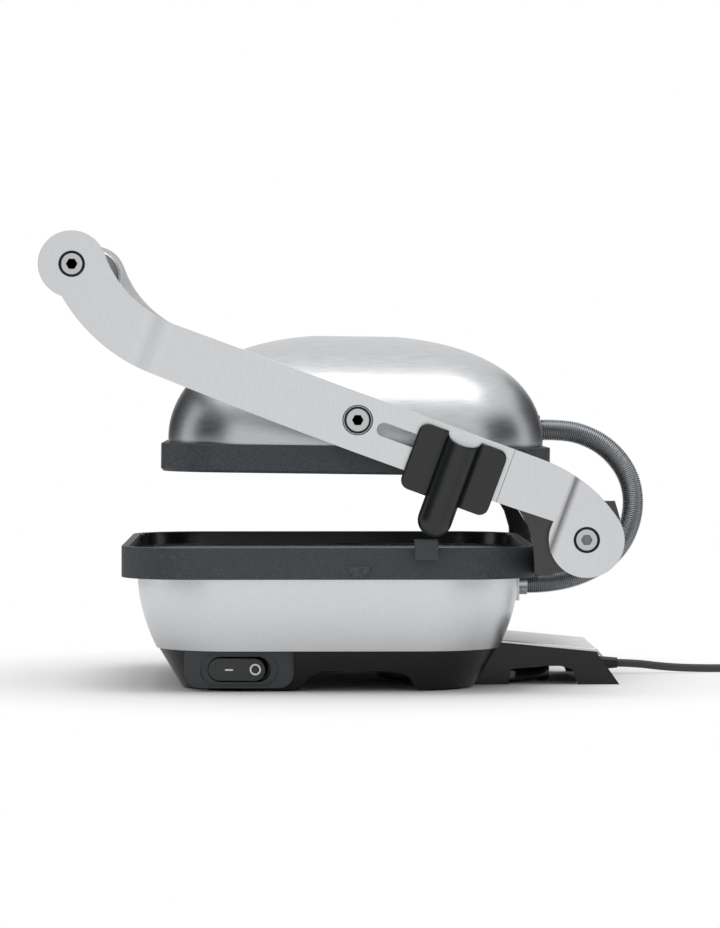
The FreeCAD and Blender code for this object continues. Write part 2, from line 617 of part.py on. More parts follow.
def make_hinge():
    y, z, boss = hinge_y, hinge_z, 17.0
    rim_back = size("plate_depth") / 2 + FIT
    corners = [(y - 39, z + 18), (y - 20, z + 26), (y + 6, z + 22), (y + 17, z + 22), (y + 20, z + 12),
               (y + 17, z - 4),
               (y + 8, z - 16), (y - 6, z - 18), (y - 29, z - 20), (y - 30, z - 2), (y - 33, z + 8)]
    cheek = prism("cheek", [(value(CHEEK_IN), a, b) for a, b in corners], (size("cheek_thick"), 0, 0))
    trim = rounded_block("cheek_trim", f"Sizes.plate_width + 0.6", "Sizes.plate_depth + 0.6",
                         "Sizes.plate_corner + 0.3", 40, 120)
    pair = both_sides("cheeks", cut("cheek_clear", cheek, trim))
    bar = box("cross_bar", (f"-{CHEEK_IN} - 1", rim_back + 0.3, f"Sizes.plate_base + 2"),
              (f"{CHEEK_IN} + 1", rim_back + 8.5, f"Sizes.plate_base + Sizes.rim_height - 1"))
    bore = rod("hinge_bore", f"Sizes.shank + {FIT}", "400", at(Vector(0, y, z), -200), ALONG_X)
    bolt_holes = [rod("bracket_bolt_hole", f"3 + {FIT}", "30", (x, rim_back - 4, z - 14),
                      ALONG_Y) for x in (-70, 70)]
    finish(cut("bracket_solid", fuse("bracket_blank", pair, bar), bore, *bolt_holes), "hinge_bracket")

    bolts = []
    for x in (-70, 70):
        stem = rod("bracket_stem", "3", f"8.2 + {CLEAR}", (x, rim_back, z - 14), ALONG_Y)
        head = rod("bracket_head", "5", "3", (x, rim_back + 8.5 + FIT, z - 14), ALONG_Y)
        bolts.append(fuse("bracket_bolt", stem, head))
    finish(group("bracket_fixings", bolts), "bracket_bolts")

    axis = Vector(0, y, z)
    finish(socket_bolts("hinge", axis, ARM_OUT, "Sizes.bolt_head", CHEEK_IN), "hinge_bolts")
    bush = rod("hinge_bush_out", "Sizes.shank + Sizes.bush_wall",
               f"Sizes.arm_thick - Sizes.head_thick - 0.5 - 0.2", at(axis, f"{ARM_IN} + 0.1"), ALONG_X)
    hole = rod("hinge_bush_hole", "Sizes.shank + Sizes.running", "20", at(axis, f"{ARM_IN} - 1"), ALONG_X)
    finish(both_sides("hinge_bush_pair", cut("hinge_bush", bush, hole)), "hinge_bushes")
    finish(washer_pair("hinge_washer", axis, f"{CHEEK_OUT} + 0.1", "Sizes.cheek_gap - 0.2", 9.0),
           "hinge_washers")


def rounded_block(name, width, depth, corner, low, high):
    body = new_body(name)
    ring = rounded_ring(body, name + "_ring", width, depth, corner, low)
    pad(body, name + "_pad", ring, high - low)
    return body


def washer_pair(name, axis, start, thick, radius):
    disc = rod(name + "_disc", radius, thick, at(axis, start), ALONG_X)
    hole = rod(name + "_hole", "Sizes.shank + 0.2", "10", at(axis, f"{start} - 4"), ALONG_X)
    return both_sides(name + "_pair", cut(name, disc, hole))


def hexagon(name, axis, x, across, depth):
    """A hexagonal socket cut inwards from x."""
    r = across / math.sqrt(3)
    points = [(value(x) - depth, axis.y + r * math.cos(math.radians(60 * i + 30)),
               axis.z + r * math.sin(math.radians(60 * i + 30)))
              for i in range(6)]
    return prism(name, points, (depth + 1, 0, 0))


def socket_bolts(name, axis, face, head_radius, inner_end):
    """A pair of socket-head bolts, their heads just inside the face and their shanks reaching inwards."""
    top = f"({face} - 0.5)"
    head = rod(name + "_head", head_radius, f"Sizes.head_thick - {FIT}",
               at(axis, f"{top} - Sizes.head_thick + {FIT}"), ALONG_X)
    stem = rod(name + "_stem", "Sizes.shank", f"{top} - 1 - ({inner_end})", at(axis, inner_end), ALONG_X)
    socket = hexagon(name + "_socket", axis, top, 6.0, 2.6)
    return both_sides(name + "_bolt_pair",
                      cut(name + "_bolt", fuse(name + "_bolt_blank", head, stem), socket))


# ---------------------------------------------------------------- arms

def arm_outline():
    """The arm's side view in its own frame: s forward from the lid pivot, n square to the arm."""
    top, low, belly = size("arm_top"), size("arm_low"), size("arm_belly")
    grip_c, grip_r = (grip_ahead, size("grip_rise")), size("grip_boss")
    hinge_c, hinge_r = (-hinge_back, -size("hinge_drop")), size("hinge_boss")
    neck, throat, shoulder = size("neck_radius"), size("throat_radius"), size("shoulder_radius")
    # the neck's arc touches the top edge and the grip's boss from outside
    neck_s = grip_c[0] - math.sqrt((neck + grip_r) ** 2 - (top + neck - grip_c[1]) ** 2)
    neck_c = (neck_s, top + neck)
    to_boss = math.atan2(grip_c[1] - neck_c[1], grip_c[0] - neck_c[0])
    neck_end = (neck_c[0] + neck * math.cos(to_boss), neck_c[1] + neck * math.sin(to_boss))
    # the throat's arc leaves the lower edge and runs into the boss from below
    throat_c = (neck_s, -low + throat)
    gap = math.dist(throat_c, grip_c)
    lift = (throat ** 2 - grip_r ** 2 + gap ** 2) / (2 * gap)
    side = math.sqrt(throat ** 2 - lift ** 2)
    ux, uy = (grip_c[0] - throat_c[0]) / gap, (grip_c[1] - throat_c[1]) / gap
    throat_end = (throat_c[0] + ux * lift + uy * side, throat_c[1] + uy * lift - ux * side)
    # the shoulder's arc leaves the top edge and wraps round the hinge's boss
    drop = top - hinge_c[1]
    shoulder_s = hinge_c[0] + math.sqrt((shoulder - hinge_r) ** 2 - (shoulder - drop) ** 2)
    shoulder_c = (shoulder_s, top - shoulder)
    away = math.atan2(hinge_c[1] - shoulder_c[1], hinge_c[0] - shoulder_c[0])
    shoulder_end = (shoulder_c[0] + shoulder * math.cos(away), shoulder_c[1] + shoulder * math.sin(away))
    heel = (hinge_c[0] + math.sqrt(hinge_r ** 2 - (hinge_c[1] + low) ** 2), -low)

    def on(centre, radius, a, b):
        """A point of the circle half way from a to b, taking the short way round."""
        start = math.atan2(a[1] - centre[1], a[0] - centre[0])
        turn = (math.atan2(b[1] - centre[1], b[0] - centre[0]) - start + math.pi) % (2 * math.pi) - math.pi
        return (centre[0] + radius * math.cos(start + turn / 2),
                centre[1] + radius * math.sin(start + turn / 2))

    def far(centre, radius, a, b):
        near = on(centre, radius, a, b)
        return (2 * centre[0] - near[0], 2 * centre[1] - near[1])

    top_front, top_rear = (neck_s, top), (shoulder_s, top)
    low_front = (neck_s, -low)
    return [
        ("line", top_rear, top_front),
        ("arc", top_front, on(neck_c, neck, top_front, neck_end), neck_end),
        ("arc", neck_end, far(grip_c, grip_r, neck_end, throat_end), throat_end),
        ("arc", throat_end, on(throat_c, throat, throat_end, low_front), low_front),
        ("arc", low_front, ((low_front[0] + heel[0]) / 2, -low - belly), heel),
        ("arc", heel, far(hinge_c, hinge_r, heel, shoulder_end), shoulder_end),
        ("arc", shoulder_end, on(shoulder_c, shoulder, shoulder_end, top_rear), top_rear),
    ]


def arm_blank(name, inner_x):
    edges = []
    for kind, *points in arm_outline():
        spots = [on_arm(s, n, inner_x) for s, n in points]
        edges.append((Part.LineSegment if kind == "line" else Part.Arc)(*spots).toShape())
    face = Part.Face(Part.Wire(edges))
    return feature(name, face.extrude(Vector(size("arm_thick"), 0, 0)))


def trough(name, step):
    """What the outer face loses between the bosses, with a smooth run-out at each end.

    step is the extra depth in front of the shoulder, where the height clip slides.
    """
    out, front, rear = value(ARM_OUT), size("arm_front_joggle"), size("arm_rear_joggle")
    s_front, s_rear, run, shoulder = grip_ahead - 67.7, -hinge_back + 12.4, 20.0, -90.4
    if not step:
        rear = front
    reach = 60

    def spot(s, depth):
        return on_arm(s, -reach, out - depth)

    def ease(s_from, d_from, s_to, d_to):
        middle = ((s_from + s_to) / 2, (d_from + d_to) / 2)
        run_s, run_d = s_to - s_from, d_to - d_from
        early = (s_from + 0.25 * run_s, d_from + 0.125 * run_d)
        late = (s_from + 0.75 * run_s, d_from + 0.875 * run_d)
        first = Part.Arc(spot(s_from, d_from), spot(*early), spot(*middle))
        last = Part.Arc(spot(*middle), spot(*late), spot(s_to, d_to))
        return [first.toShape(), last.toShape()]

    def straight(a, b):
        return [Part.LineSegment(spot(*a), spot(*b)).toShape()]

    edges = straight((s_front + run, -1.0), (s_front + run, 0.0)) + ease(s_front + run, 0.0, s_front, front)
    if step:
        edges += straight((s_front, front), (shoulder, front)) + straight((shoulder, front),
            (shoulder, rear))
        edges += straight((shoulder, rear), (s_rear + run / 2, rear))
    else:
        edges += straight((s_front, front), (s_rear + run / 2, front))
    edges += ease(s_rear + run / 2, rear, s_rear, 0.0) + straight((s_rear, 0.0), (s_rear, -1.0))
    edges += straight((s_rear, -1.0), (s_front + run, -1.0))
    return feature(name, Part.Face(Part.Wire(edges)).extrude(upward * (2 * reach)))


def make_arms():
    inner = value(ARM_IN)
    holes = {}
    hinge_axis, grip_axis = Vector(0, hinge_y, hinge_z), grip
    for side in ("right", "left"):
        tools = [trough(side + "_trough", side == "right")]
        for word, axis, face, head, ring in (
            ("hinge", hinge_axis, ARM_OUT, "Sizes.bolt_head", "Sizes.head_ring"),
            ("grip", grip_axis, ARM_OUT, "Sizes.bolt_head", "Sizes.head_ring"),
            ("pivot", pivot, ARM_FACE, "Sizes.pivot_head", "Sizes.pivot_ring"),
        ):
            radius = "Sizes.shank + Sizes.bush_wall + Sizes.running" if word != "grip" else f"Sizes.shank + {FIT}"
            tools.append(rod(f"{side}_{word}_bore", radius, "30", at(axis, f"{ARM_IN} - 5"), ALONG_X))
            depth = "(Sizes.head_thick + 0.5)"
            tools.append(rod(f"{side}_{word}_seat", f"{head} + {ring}", f"{depth} + 5",
                             at(axis, f"{face} - {depth}"), ALONG_X))
        if side == "right":
            half = size("slot_half")
            ends = (-size("slot_front") - half, -size("clip_place") - half + half - CLEAR)
            caps = [rod("slot_end", "Sizes.slot_half", "30", at(on_arm(s, 0), f"{ARM_IN} - 5"),
                        ALONG_X) for s in ends]
            band = [on_arm(s, n, inner - 5) for s,
                    n in ((ends[0], half), (ends[0], -half), (ends[1], -half), (ends[1], half))]
            tools += caps + [prism("slot_band", [tuple(point) for point in band], (30, 0, 0))]
        holes[side] = cut(side + "_arm_solid", arm_blank(side + "_arm_blank", inner), *tools)
    finish(holes["right"], "right_arm")
    mirrored = doc.addObject("Part::Mirroring", "left_arm_mirror")
    mirrored.Source = holes["left"]
    mirrored.Normal = Vector(1, 0, 0)
    finish(mirrored, "left_arm")

    finish(socket_bolts("pivot", pivot, f"({ARM_FACE} + 0.8)", "Sizes.pivot_head", f"{ARM_IN} - 32"),
           "pivot_bolts")
    bush = rod("pivot_bush_out", "Sizes.shank + Sizes.bush_wall",
               "Sizes.arm_thick - Sizes.arm_front_joggle - Sizes.head_thick - 0.7",
               at(pivot, f"{ARM_IN} + 0.1"), ALONG_X)
    hole = rod("pivot_bush_hole", "Sizes.shank + Sizes.running", "20", at(pivot, f"{ARM_IN} - 1"), ALONG_X)
    finish(both_sides("pivot_bush_pair", cut("pivot_bush", bush, hole)), "pivot_bushes")
    finish(washer_pair("pivot_washer", pivot, f"{ARM_IN} - 0.6", "0.5", 8.0), "pivot_washers")


def make_handle():
    finish(socket_bolts("grip", grip, ARM_OUT, "Sizes.bolt_head", f"{ARM_IN} - 12"), "handle_bolts")
    length = f"2 * ({ARM_IN} - 0.1)"
    tie = rod("tie_rod_out", "Sizes.rod_radius + 1", length, at(grip, f"-{ARM_IN} + 0.1"), ALONG_X)
    bores = [rod("tie_rod_bore", f"Sizes.shank + {FIT}", "13", at(grip, start),
                 ALONG_X) for start in (f"{ARM_IN} - 12.8", f"-{ARM_IN} - 0.2")]
    finish(cut("tie_rod", tie, *bores), "handle_tie_rod")
    collar = rod("collar_out", "Sizes.grip_radius + 0.8", "7", at(grip, f"{ARM_IN} - 7.2"), ALONG_X)
    collar_hole = rod("collar_hole", f"Sizes.rod_radius + 1 + {FIT}", "12", at(grip, f"{ARM_IN} - 9"),
                      ALONG_X)
    finish(both_sides("collar_pair", cut("collar", collar, collar_hole)), "handle_collars")

    body = new_body("grip_body")
    sketch = new_sketch(body, "grip_outline", "XY_Plane", 0)
    end, bore, r = value(f"{ARM_IN} - 7.3"), size("rod_radius") + 1 + FIT, size("grip_radius")
    waist = r - 1.8
    for edge in (line2((-end, bore), (end, bore)), line2((end, bore), (end, r)),
                 arc3((end, r), (0, waist), (-end, r)),
                 line2((-end, r), (-end, bore))):
        sketch.addGeometry(edge, False)
    turned = body.newObject("PartDesign::Revolution", "grip_turn")
    turned.Profile = sketch
    turned.ReferenceAxis = (sketch, ["H_Axis"])
    turned.Angle = 360
    body.Placement = Placement(Vector(0, grip.y, grip.z), Rotation())
    finish(body, "handle_grip")


# ---------------------------------------------------------------- lid

TILT = Placement(Vector(0, 0, 0), Rotation(Vector(1, 0, 0), -size("lid_tilt")), pivot)


def lid_part(item, label):
    """Everything on the lid is drawn level and rests a little front-up about the pivots."""
    item.Placement = TILT.multiply(item.Placement)
    return finish(item, label)


UPPER_W = "(Sizes.plate_width - 2 * (Sizes.rim_wall + Sizes.plate_play + 2.0))"
UPPER_D = "(Sizes.plate_depth - 2 * (Sizes.rim_wall + Sizes.plate_play))"


def make_upper_plate():
    bottom = pivot.z - size("upper_drop")
    body = new_body("upper_plate_body")
    low = rounded_ring(body, "upper_low", f"{UPPER_W} - 3", f"{UPPER_D} - 3", "Sizes.plate_corner - 5.5",
                       bottom, pivot.y)
    mid = rounded_ring(body, "upper_mid", UPPER_W, UPPER_D, "Sizes.plate_corner - 4", bottom + 1.6, pivot.y)
    loft(body, "upper_edge", [low, mid])
    pad(body, "upper_slab", mid, "Sizes.upper_height - 1.6")
    hollow = rounded_ring(body, "upper_hollow", f"{UPPER_W} - 12", f"{UPPER_D} - 12",
                          "Sizes.plate_corner - 10",
                          f"{bottom} + Sizes.upper_height", pivot.y)
    pad(body, "upper_pocket", hollow, "Sizes.upper_height - 9", cut_away=True)
    pitch, deep = size("rib_pitch"), size("rib_groove")
    reach_x, reach_y = value(UPPER_W) / 2 - 16, value(UPPER_D) / 2 - 14
    count = int(reach_x // pitch)
    grooves = []
    for i in range(-count, count + 1):
        x, wide = i * pitch, pitch * 0.26
        points = [(x - wide - 1, pivot.y - reach_y, bottom - 1),
                  (x + wide + 1, pivot.y - reach_y, bottom - 1),
                  (x + wide - 0.8, pivot.y - reach_y, bottom + deep),
                  (x - wide + 0.8, pivot.y - reach_y, bottom + deep)]
        grooves.append(prism("rib_groove", points, (0, 2 * reach_y, 0)))
    bosses = [rod("upper_boss", "5", "5.8", (x, y, bottom + 9)) for x, y in lid_screw_spots()]
    holes = [rod("upper_boss_hole", f"Sizes.screw_shank + {FIT}", "8", (x, y, f"{bottom} + 9.5")) for x,
             y in lid_screw_spots()]
    blank = fuse("upper_plate_blank", body, *bosses)
    lid_part(cut("upper_plate_solid", blank, *grooves, *holes), "upper_plate")


def lid_screw_spots():
    x, y = value(UPPER_W) / 2 - 22, value(UPPER_D) / 2 - 26
    return [(sx * x, pivot.y + sy * y) for sx in (-1, 1) for sy in (-1, 1)]


def dome_share(rise):
    """How wide the dome still is at a share of its height, along a superellipse."""
    return (1 - rise ** 2.4) ** (1 / 2.3)


def dome_sections(wall):
    base = pivot.z - size("upper_drop") + size("upper_height")
    width, depth = value(UPPER_W) - 2 * size("dome_inset_x") + 11, value(UPPER_D) - 2 * size("dome_inset_y")
    height = size("dome_height") - wall
    rows = []
    for rise in (0.0, 0.3, 0.55, 0.73, 0.86, 0.94, 0.985):
        share = dome_share(rise)
        rows.append((width * share - 2 * wall, depth * share - 2 * wall,
                     (size("plate_corner") + 2) * share - wall,
                     base + FIT + rise * height))
    return rows


hose_high = pivot.z - 6.0


def make_dome():
    body = new_body("dome_body")
    wall = size("sheet_wall")
    for word, less, away in (("skin", 0, False), ("hollow", wall, True)):
        rings = [rounded_ring(body, f"dome_{word}{i}", *row, pivot.y) for i,
                 row in enumerate(dome_sections(less))]
        loft(body, "dome_" + word, rings, cut_away=away)
    holes = rod("dome_pivot_holes", f"Sizes.block_radius + {CLEAR}", "400", at(pivot, -200), ALONG_X)
    hose = rod("dome_hose_hole", f"Sizes.hose_radius + {CLEAR}", "60", (0, pivot.y + 60, hose_high),
               ALONG_Y)
    lid_part(cut("dome_solid", body, holes, hose), "lid_dome")


def make_lid_inside():
    bottom = pivot.z - size("upper_drop")
    top = bottom + size("upper_height")
    heat = bottom + 9
    half_x, half_y = value(UPPER_W) / 2 - 36, value(UPPER_D) / 2 - 34
    heater = ring_tube("upper_heater", half_x, half_y, 24, 2.9, heat + 2.9 + FIT, 20)
    heater.Placement = Placement(Vector(0, pivot.y, 0), Rotation())
    lid_part(heater, "upper_element")
    body = new_body("chassis_body")
    ring = rounded_ring(body, "chassis_ring", f"{UPPER_W} - 12.4", f"{UPPER_D} - 12.4",
                        "Sizes.plate_corner - 10.2",
                        f"{top} - 1.45", pivot.y)
    pad(body, "chassis_pad", ring, 1.2)
    seats = [rod("chassis_hole", f"Sizes.screw_shank + {FIT}", "6", (x, y, top - 4)) for x,
             y in lid_screw_spots()]
    vent = rod("chassis_vent", "10", "6", (0, pivot.y + half_y - 24, top - 4))
    lid_part(cut("chassis_solid", body, *seats, vent), "lid_chassis")
    blocks = box("block_box", (f"{ARM_IN} - 36", pivot.y - 14, top - 0.25),
                 (f"{ARM_IN} - 24", pivot.y + 14, pivot.z + 6))
    neck = rod("block_neck", "Sizes.block_radius", "24.3", at(pivot, f"{ARM_IN} - 25"), ALONG_X)
    bore = rod("block_bore", f"Sizes.shank + {FIT}", "40", at(pivot, f"{ARM_IN} - 32.3"), ALONG_X)
    lid_part(both_sides("block_pair", cut("block", fuse("block_blank", blocks, neck), bore)),
             "pivot_blocks")
    screws = []
    for x, y in lid_screw_spots():
        head = rod("lid_screw_head", "Sizes.screw_head", "2", (x, y, top - 0.3 + FIT))
        stem = rod("lid_screw_stem", "Sizes.screw_shank", "5", (x, y, top - 5))
        screws.append(fuse("lid_screw", head, stem))
    lid_part(group("lid_screws", screws), "upper_plate_screws")
    lid_part(fuse("upper_stat", rod("upper_stat_body", "9", "5", (0, pivot.y - 20, heat + FIT)),
                  rod("upper_stat_neck", "4", "0.9", (0, pivot.y - 20, heat + 4.9))), "upper_thermostat")
    rear = pivot.y + (value(UPPER_D) - 2 * size("dome_inset_y")) / 2
    flange = rod("flange_disc", "9.0", "2.4", (0, rear + 0.6, hose_high), ALONG_Y)
    nose = rod("flange_nose", f"Sizes.hose_radius", "9", (0, rear - 8, hose_high), ALONG_Y)
    lid_part(fuse("flange", flange, nose), "upper_conduit_flange")
    wire = tube("lid_lead", [(0, rear - 8.2, hose_high), (0, rear - 20, hose_high),
                             (6, rear - 32, pivot.z + 2),
                             (0, pivot.y + half_y - 24, top + 10), (0, pivot.y + half_y - 25, top - 4)],
                             1.6)
    lid_part(wire, "lid_wiring")


# ---------------------------------------------------------------- height clip

def make_clip():
    """Drawn in the arm's frame round its stud, then turned and moved onto the arm."""
    s0 = -size("clip_place")
    inner = value(ARM_FACE) + size("clip_lift")
    thick, rise = size("clip_thick"), size("clip_rise")
    half, top, low = size("clip_length") / 2, size("clip_top"), size("clip_bottom")
    leg, reach, shift = size("clip_leg"), size("leg_reach"), -0.5

    def slab(name, spots, x_low, x_high):
        points = [on_arm(s0 + shift + s, n, x_low) for s, n in spots]
        return prism(name, [tuple(point) for point in points], (x_high - x_low, 0, 0))

    def rounded(s_low, s_high, n_low, n_high, r):
        spots = []
        spots += corner_arc(s_high - r, n_high - r, r, 0, 3)
        spots += corner_arc(s_low + r, n_high - r, r, 90, 3)
        spots += corner_arc(s_low + r, n_low + r, r, 180, 3)
        spots += corner_arc(s_high - r, n_low + r, r, 270, 3)
        return spots

    plate = slab("clip_plate", rounded(-half, half, -low, top, 5.5), inner, inner + thick)
    tip = [(leg * math.cos(math.radians(180 + 20 * i)),
            -reach + leg + leg * math.sin(math.radians(180 + 20 * i))) for i in range(10)]
    column = slab("clip_column", [(leg, top - 1), (-leg, top - 1)] + tip, inner, inner + thick + rise)
    grooves = [slab("clip_groove", [(s - 2.4, -low - 1), (s + 2.4, -low - 1), (s + 2.4, top + 1),
                                    (s - 2.4, top + 1)],
                    inner + thick - 1.8, inner + thick + 6) for s in (-leg - 2.4, leg + 2.4)]
    scoop = slab("clip_scoop", [(-10.5, top + 3), (-7, top - 4), (0, top - 5.4), (7, top - 4),
                                (10.5, top + 3)], inner - 1, inner + 20)
    blank = cut("clip_blank", fuse("clip_fused", plate, column), *grooves, scoop)
    centre = on_arm(s0, 0)
    hole = rod("clip_hole", f"3 + {FIT}", "6", at(centre, inner - 1), ALONG_X)
    finish(cut("clip_solid", blank, hole), "height_clip")

    stud_axis = centre
    stud = rod("clip_stud_shank", "Sizes.slot_half - 0.1", inner - FIT - value(ARM_IN) - 0.2,
               at(stud_axis, f"{ARM_IN} + 0.2"), ALONG_X)
    pin = rod("clip_stud_pin", "3", f"4", at(stud_axis, inner - 0.5), ALONG_X)
    stem = rod("clip_stud_stem", "2", "3", at(stud_axis, f"{ARM_IN} - 2.4"), ALONG_X)
    finish(fuse("clip_stud_solid", stud, pin, stem), "clip_stud")
    washer = rod("clip_washer_disc", "7", "1.4", at(stud_axis, f"{ARM_IN} - 1.7"), ALONG_X)
    washer_hole = rod("clip_washer_hole", f"2 + {FIT}", "6", at(stud_axis, f"{ARM_IN} - 4"), ALONG_X)
    finish(cut("clip_washer_solid", washer, washer_hole), "clip_washer")


# ---------------------------------------------------------------- conduit and cord

def make_conduit():
    low_z = value(HOSE_LOW)
    back = value(HOUSING_D) / 2
    flange = box("fitting_plate", (-9, back + FIT, low_z - 10.4), (9, back + 4.6, low_z + 5.6))
    collar = rod("fitting_collar", "Sizes.hose_radius + 0.6", "5.2", (0, back + 4.4, low_z), ALONG_Y)
    nose = rod("fitting_nose", "Sizes.hose_radius", "8", (0, back - 6, low_z), ALONG_Y)
    finish(fuse("fitting", flange, collar, nose), "lower_conduit_fitting")
    lid_rear = pivot.y + (value(UPPER_D) - 2 * size("dome_inset_y")) / 2 + 3.2
    high_z = hose_high - 1.5
    points = [(0, back + 9.7, low_z), (0, back + 22, low_z), (0, back + 42, low_z + 4.5),
              (0, back + 59, low_z + 14),
              (0, back + 70, low_z + 28), (0, back + 75, low_z + 47), (0, back + 71.5, low_z + 66),
              (0, back + 59, low_z + 82),
              (0, back + 42, low_z + 91), (0, lid_rear + 8, high_z + 0.3), (0, lid_rear + 0.2, high_z)]
    hose = tube("hose", points, size("hose_radius"))
    finish(hose, "conduit")


def make_cord():
    rear = size("stand_rear")
    x, level, r = -38.0, 6.6, size("cord_radius")
    relief = primitive("Cone", "gland_cone", {"Radius1": "4.4", "Radius2": "3.2", "Height": "14"},
                       (x, rear - 8, level), ALONG_Y)
    core = rod("gland_core", f"Sizes.cord_radius + {FIT}", "20", (x, rear - 9, level), ALONG_Y)
    finish(cut("gland", relief, core), "cord_gland")
    mean = size("coil_mean")
    coil_x, coil_y = x - 6 - mean, rear + 116.0
    points = [(x, rear - 6, level), (x, rear + 15, level), (x - 2.4, rear + 36, r + 1.2),
              (x - 6.2, rear + 58, r + 0.1),
              (x - 8.2, rear + 80, r + 0.1), (x - 7.4, rear + 98, r + 0.1), (x - 6.0, rear + 113, r + 0.1)]
    finish(tube("cord_run", points, r), "mains_cord")
    ring = Part.makeTorus(mean, size("coil_tube"), Vector(coil_x, coil_y, size("coil_tube")),
                          Vector(0, 0, 1))
    finish(feature("coil", ring), "cord_coil")
    plug_x, plug_y = coil_x - 31.3, coil_y + mean
    body = box("plug_body", (plug_x - 36, plug_y - 9, 0.05), (plug_x, plug_y + 9, 15))
    pins = [rod("plug_pin", "2", "20", (plug_x - 55, plug_y + side * 6, 7.5), ALONG_X) for side in (-1, 1)]
    finish(fuse("plug", body, *pins), "mains_plug")


for make in (make_housing, make_tray, make_feet, make_lights, make_switch, make_lower_plate,
             make_base_inside, make_stand,
             make_hinge, make_arms, make_handle, make_upper_plate, make_dome, make_lid_inside, make_clip,
             make_conduit, make_cord):
    make()

doc.recompute()

# ---------------------------------------------------------------- check and write

faults = [item.Name for item in doc.Objects if "Invalid" in item.State or "Error" in item.State]
for item in nodes:
    shape = item.Shape
    if shape.isNull() or not shape.isValid() or not shape.Solids:
        faults.append("shape of " + item.Label)
if faults:
    raise ValueError("failed objects: " + ", ".join(faults))

os.makedirs("parts", exist_ok=True)
for item in nodes:
    item.Shape.exportStep(f"parts/{item.Label}.step")
print(len(nodes), "sub-parts written")
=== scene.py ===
"""The looks of the panini press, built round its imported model. Lengths are millimetres until they reach a mesh."""
import bmesh
import bpy
import math
from mathutils import Matrix, Vector


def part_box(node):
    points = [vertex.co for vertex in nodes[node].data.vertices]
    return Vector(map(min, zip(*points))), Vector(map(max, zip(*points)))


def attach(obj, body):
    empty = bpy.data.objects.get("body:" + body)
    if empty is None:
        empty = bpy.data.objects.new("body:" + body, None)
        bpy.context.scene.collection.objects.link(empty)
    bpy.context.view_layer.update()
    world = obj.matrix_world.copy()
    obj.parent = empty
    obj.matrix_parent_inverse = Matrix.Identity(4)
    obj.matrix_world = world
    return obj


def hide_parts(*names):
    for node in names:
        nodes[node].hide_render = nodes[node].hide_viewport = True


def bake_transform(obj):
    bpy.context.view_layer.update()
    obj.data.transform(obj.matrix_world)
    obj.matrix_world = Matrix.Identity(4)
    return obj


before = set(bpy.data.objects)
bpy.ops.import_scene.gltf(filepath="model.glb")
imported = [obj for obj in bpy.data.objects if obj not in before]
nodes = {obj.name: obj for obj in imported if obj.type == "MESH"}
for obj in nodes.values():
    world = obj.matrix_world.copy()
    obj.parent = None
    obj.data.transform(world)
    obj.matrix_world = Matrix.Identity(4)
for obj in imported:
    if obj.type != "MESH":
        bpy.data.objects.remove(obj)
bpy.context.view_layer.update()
MM = 0.001

# ---------------------------------------------------------------- materials


def linear(colour):
    """A colour written as sRGB hex, as the linear RGBA that a shader takes."""
    parts = [int(colour[i:i + 2], 16) / 255 for i in (1, 3, 5)]
    return tuple(c / 12.92 if c <= 0.04045 else ((c + 0.055) / 1.055) ** 2.4 for c in parts) + (1.0,)


def add(tree, kind, inputs=None, **settings):
    """Adds a node with its settings; an input is either a plain value or another node's output."""
    item = tree.nodes.new(kind)
    for name, amount in settings.items():
        setattr(item, name, amount)
    for name, amount in (inputs or {}).items():
        if isinstance(amount, bpy.types.NodeSocket):
            tree.links.new(amount, item.inputs[name])
        else:
            item.inputs[name].default_value = amount
    return item


def surface(name, colour, roughness, metallic=0.0, coat=0.0, specular=0.5):
    """A plain material; returns it with its shader and the point on the object that patterns read."""
    material = bpy.data.materials.new(name)
    material.use_nodes = True
    tree = material.node_tree
    tree.nodes.clear()
    shader = add(tree, "ShaderNodeBsdfPrincipled", {
        "Base Color": linear(colour), "Roughness": roughness, "Metallic": metallic,
        "Coat Weight": coat, "Coat Roughness": 0.08, "Specular IOR Level": specular})
    add(tree, "ShaderNodeOutputMaterial", {"Surface": shader.outputs["BSDF"]})
    where = add(tree, "ShaderNodeTexCoord").outputs["Object"]
    return material, tree, shader, where


def grained(material, tree, shader, where, grain, depth, detail=2.0):
    """A moulded or blasted surface: small bumps, grain millimetres apart and depth millimetres deep."""
    noise = add(tree, "ShaderNodeTexNoise", {"Vector": where, "Scale": 1 / (grain * MM), "Detail": detail})
    bump = add(tree, "ShaderNodeBump", {"Height": noise.outputs["Fac"], "Distance": depth * MM, "Strength": 0.6})
    tree.links.new(bump.outputs["Normal"], shader.inputs["Normal"])
    return material


def speckled(material, tree, shader, where, dark, pale, grain, share):
    """A coat with pale flakes in it: grain is the size of a flake in millimetres, share how much of it is flakes."""
    noise = add(tree, "ShaderNodeTexNoise",
                {"Vector": where, "Scale": 1 / (grain * MM), "Detail": 3.0, "Roughness": 0.75})
    ramp = add(tree, "ShaderNodeValToRGB", {"Fac": noise.outputs["Fac"]})
    low, high = ramp.color_ramp.elements
    low.position, low.color = 0.62 - share, linear(dark)
    high.position, high.color = 0.80 - share * 0.5, linear(pale)
    tree.links.new(ramp.outputs["Color"], shader.inputs["Base Color"])
    bump = add(tree, "ShaderNodeBump", {"Height": noise.outputs["Fac"], "Distance": 0.06 * MM, "Strength": 0.5})
    tree.links.new(bump.outputs["Normal"], shader.inputs["Normal"])
    return material


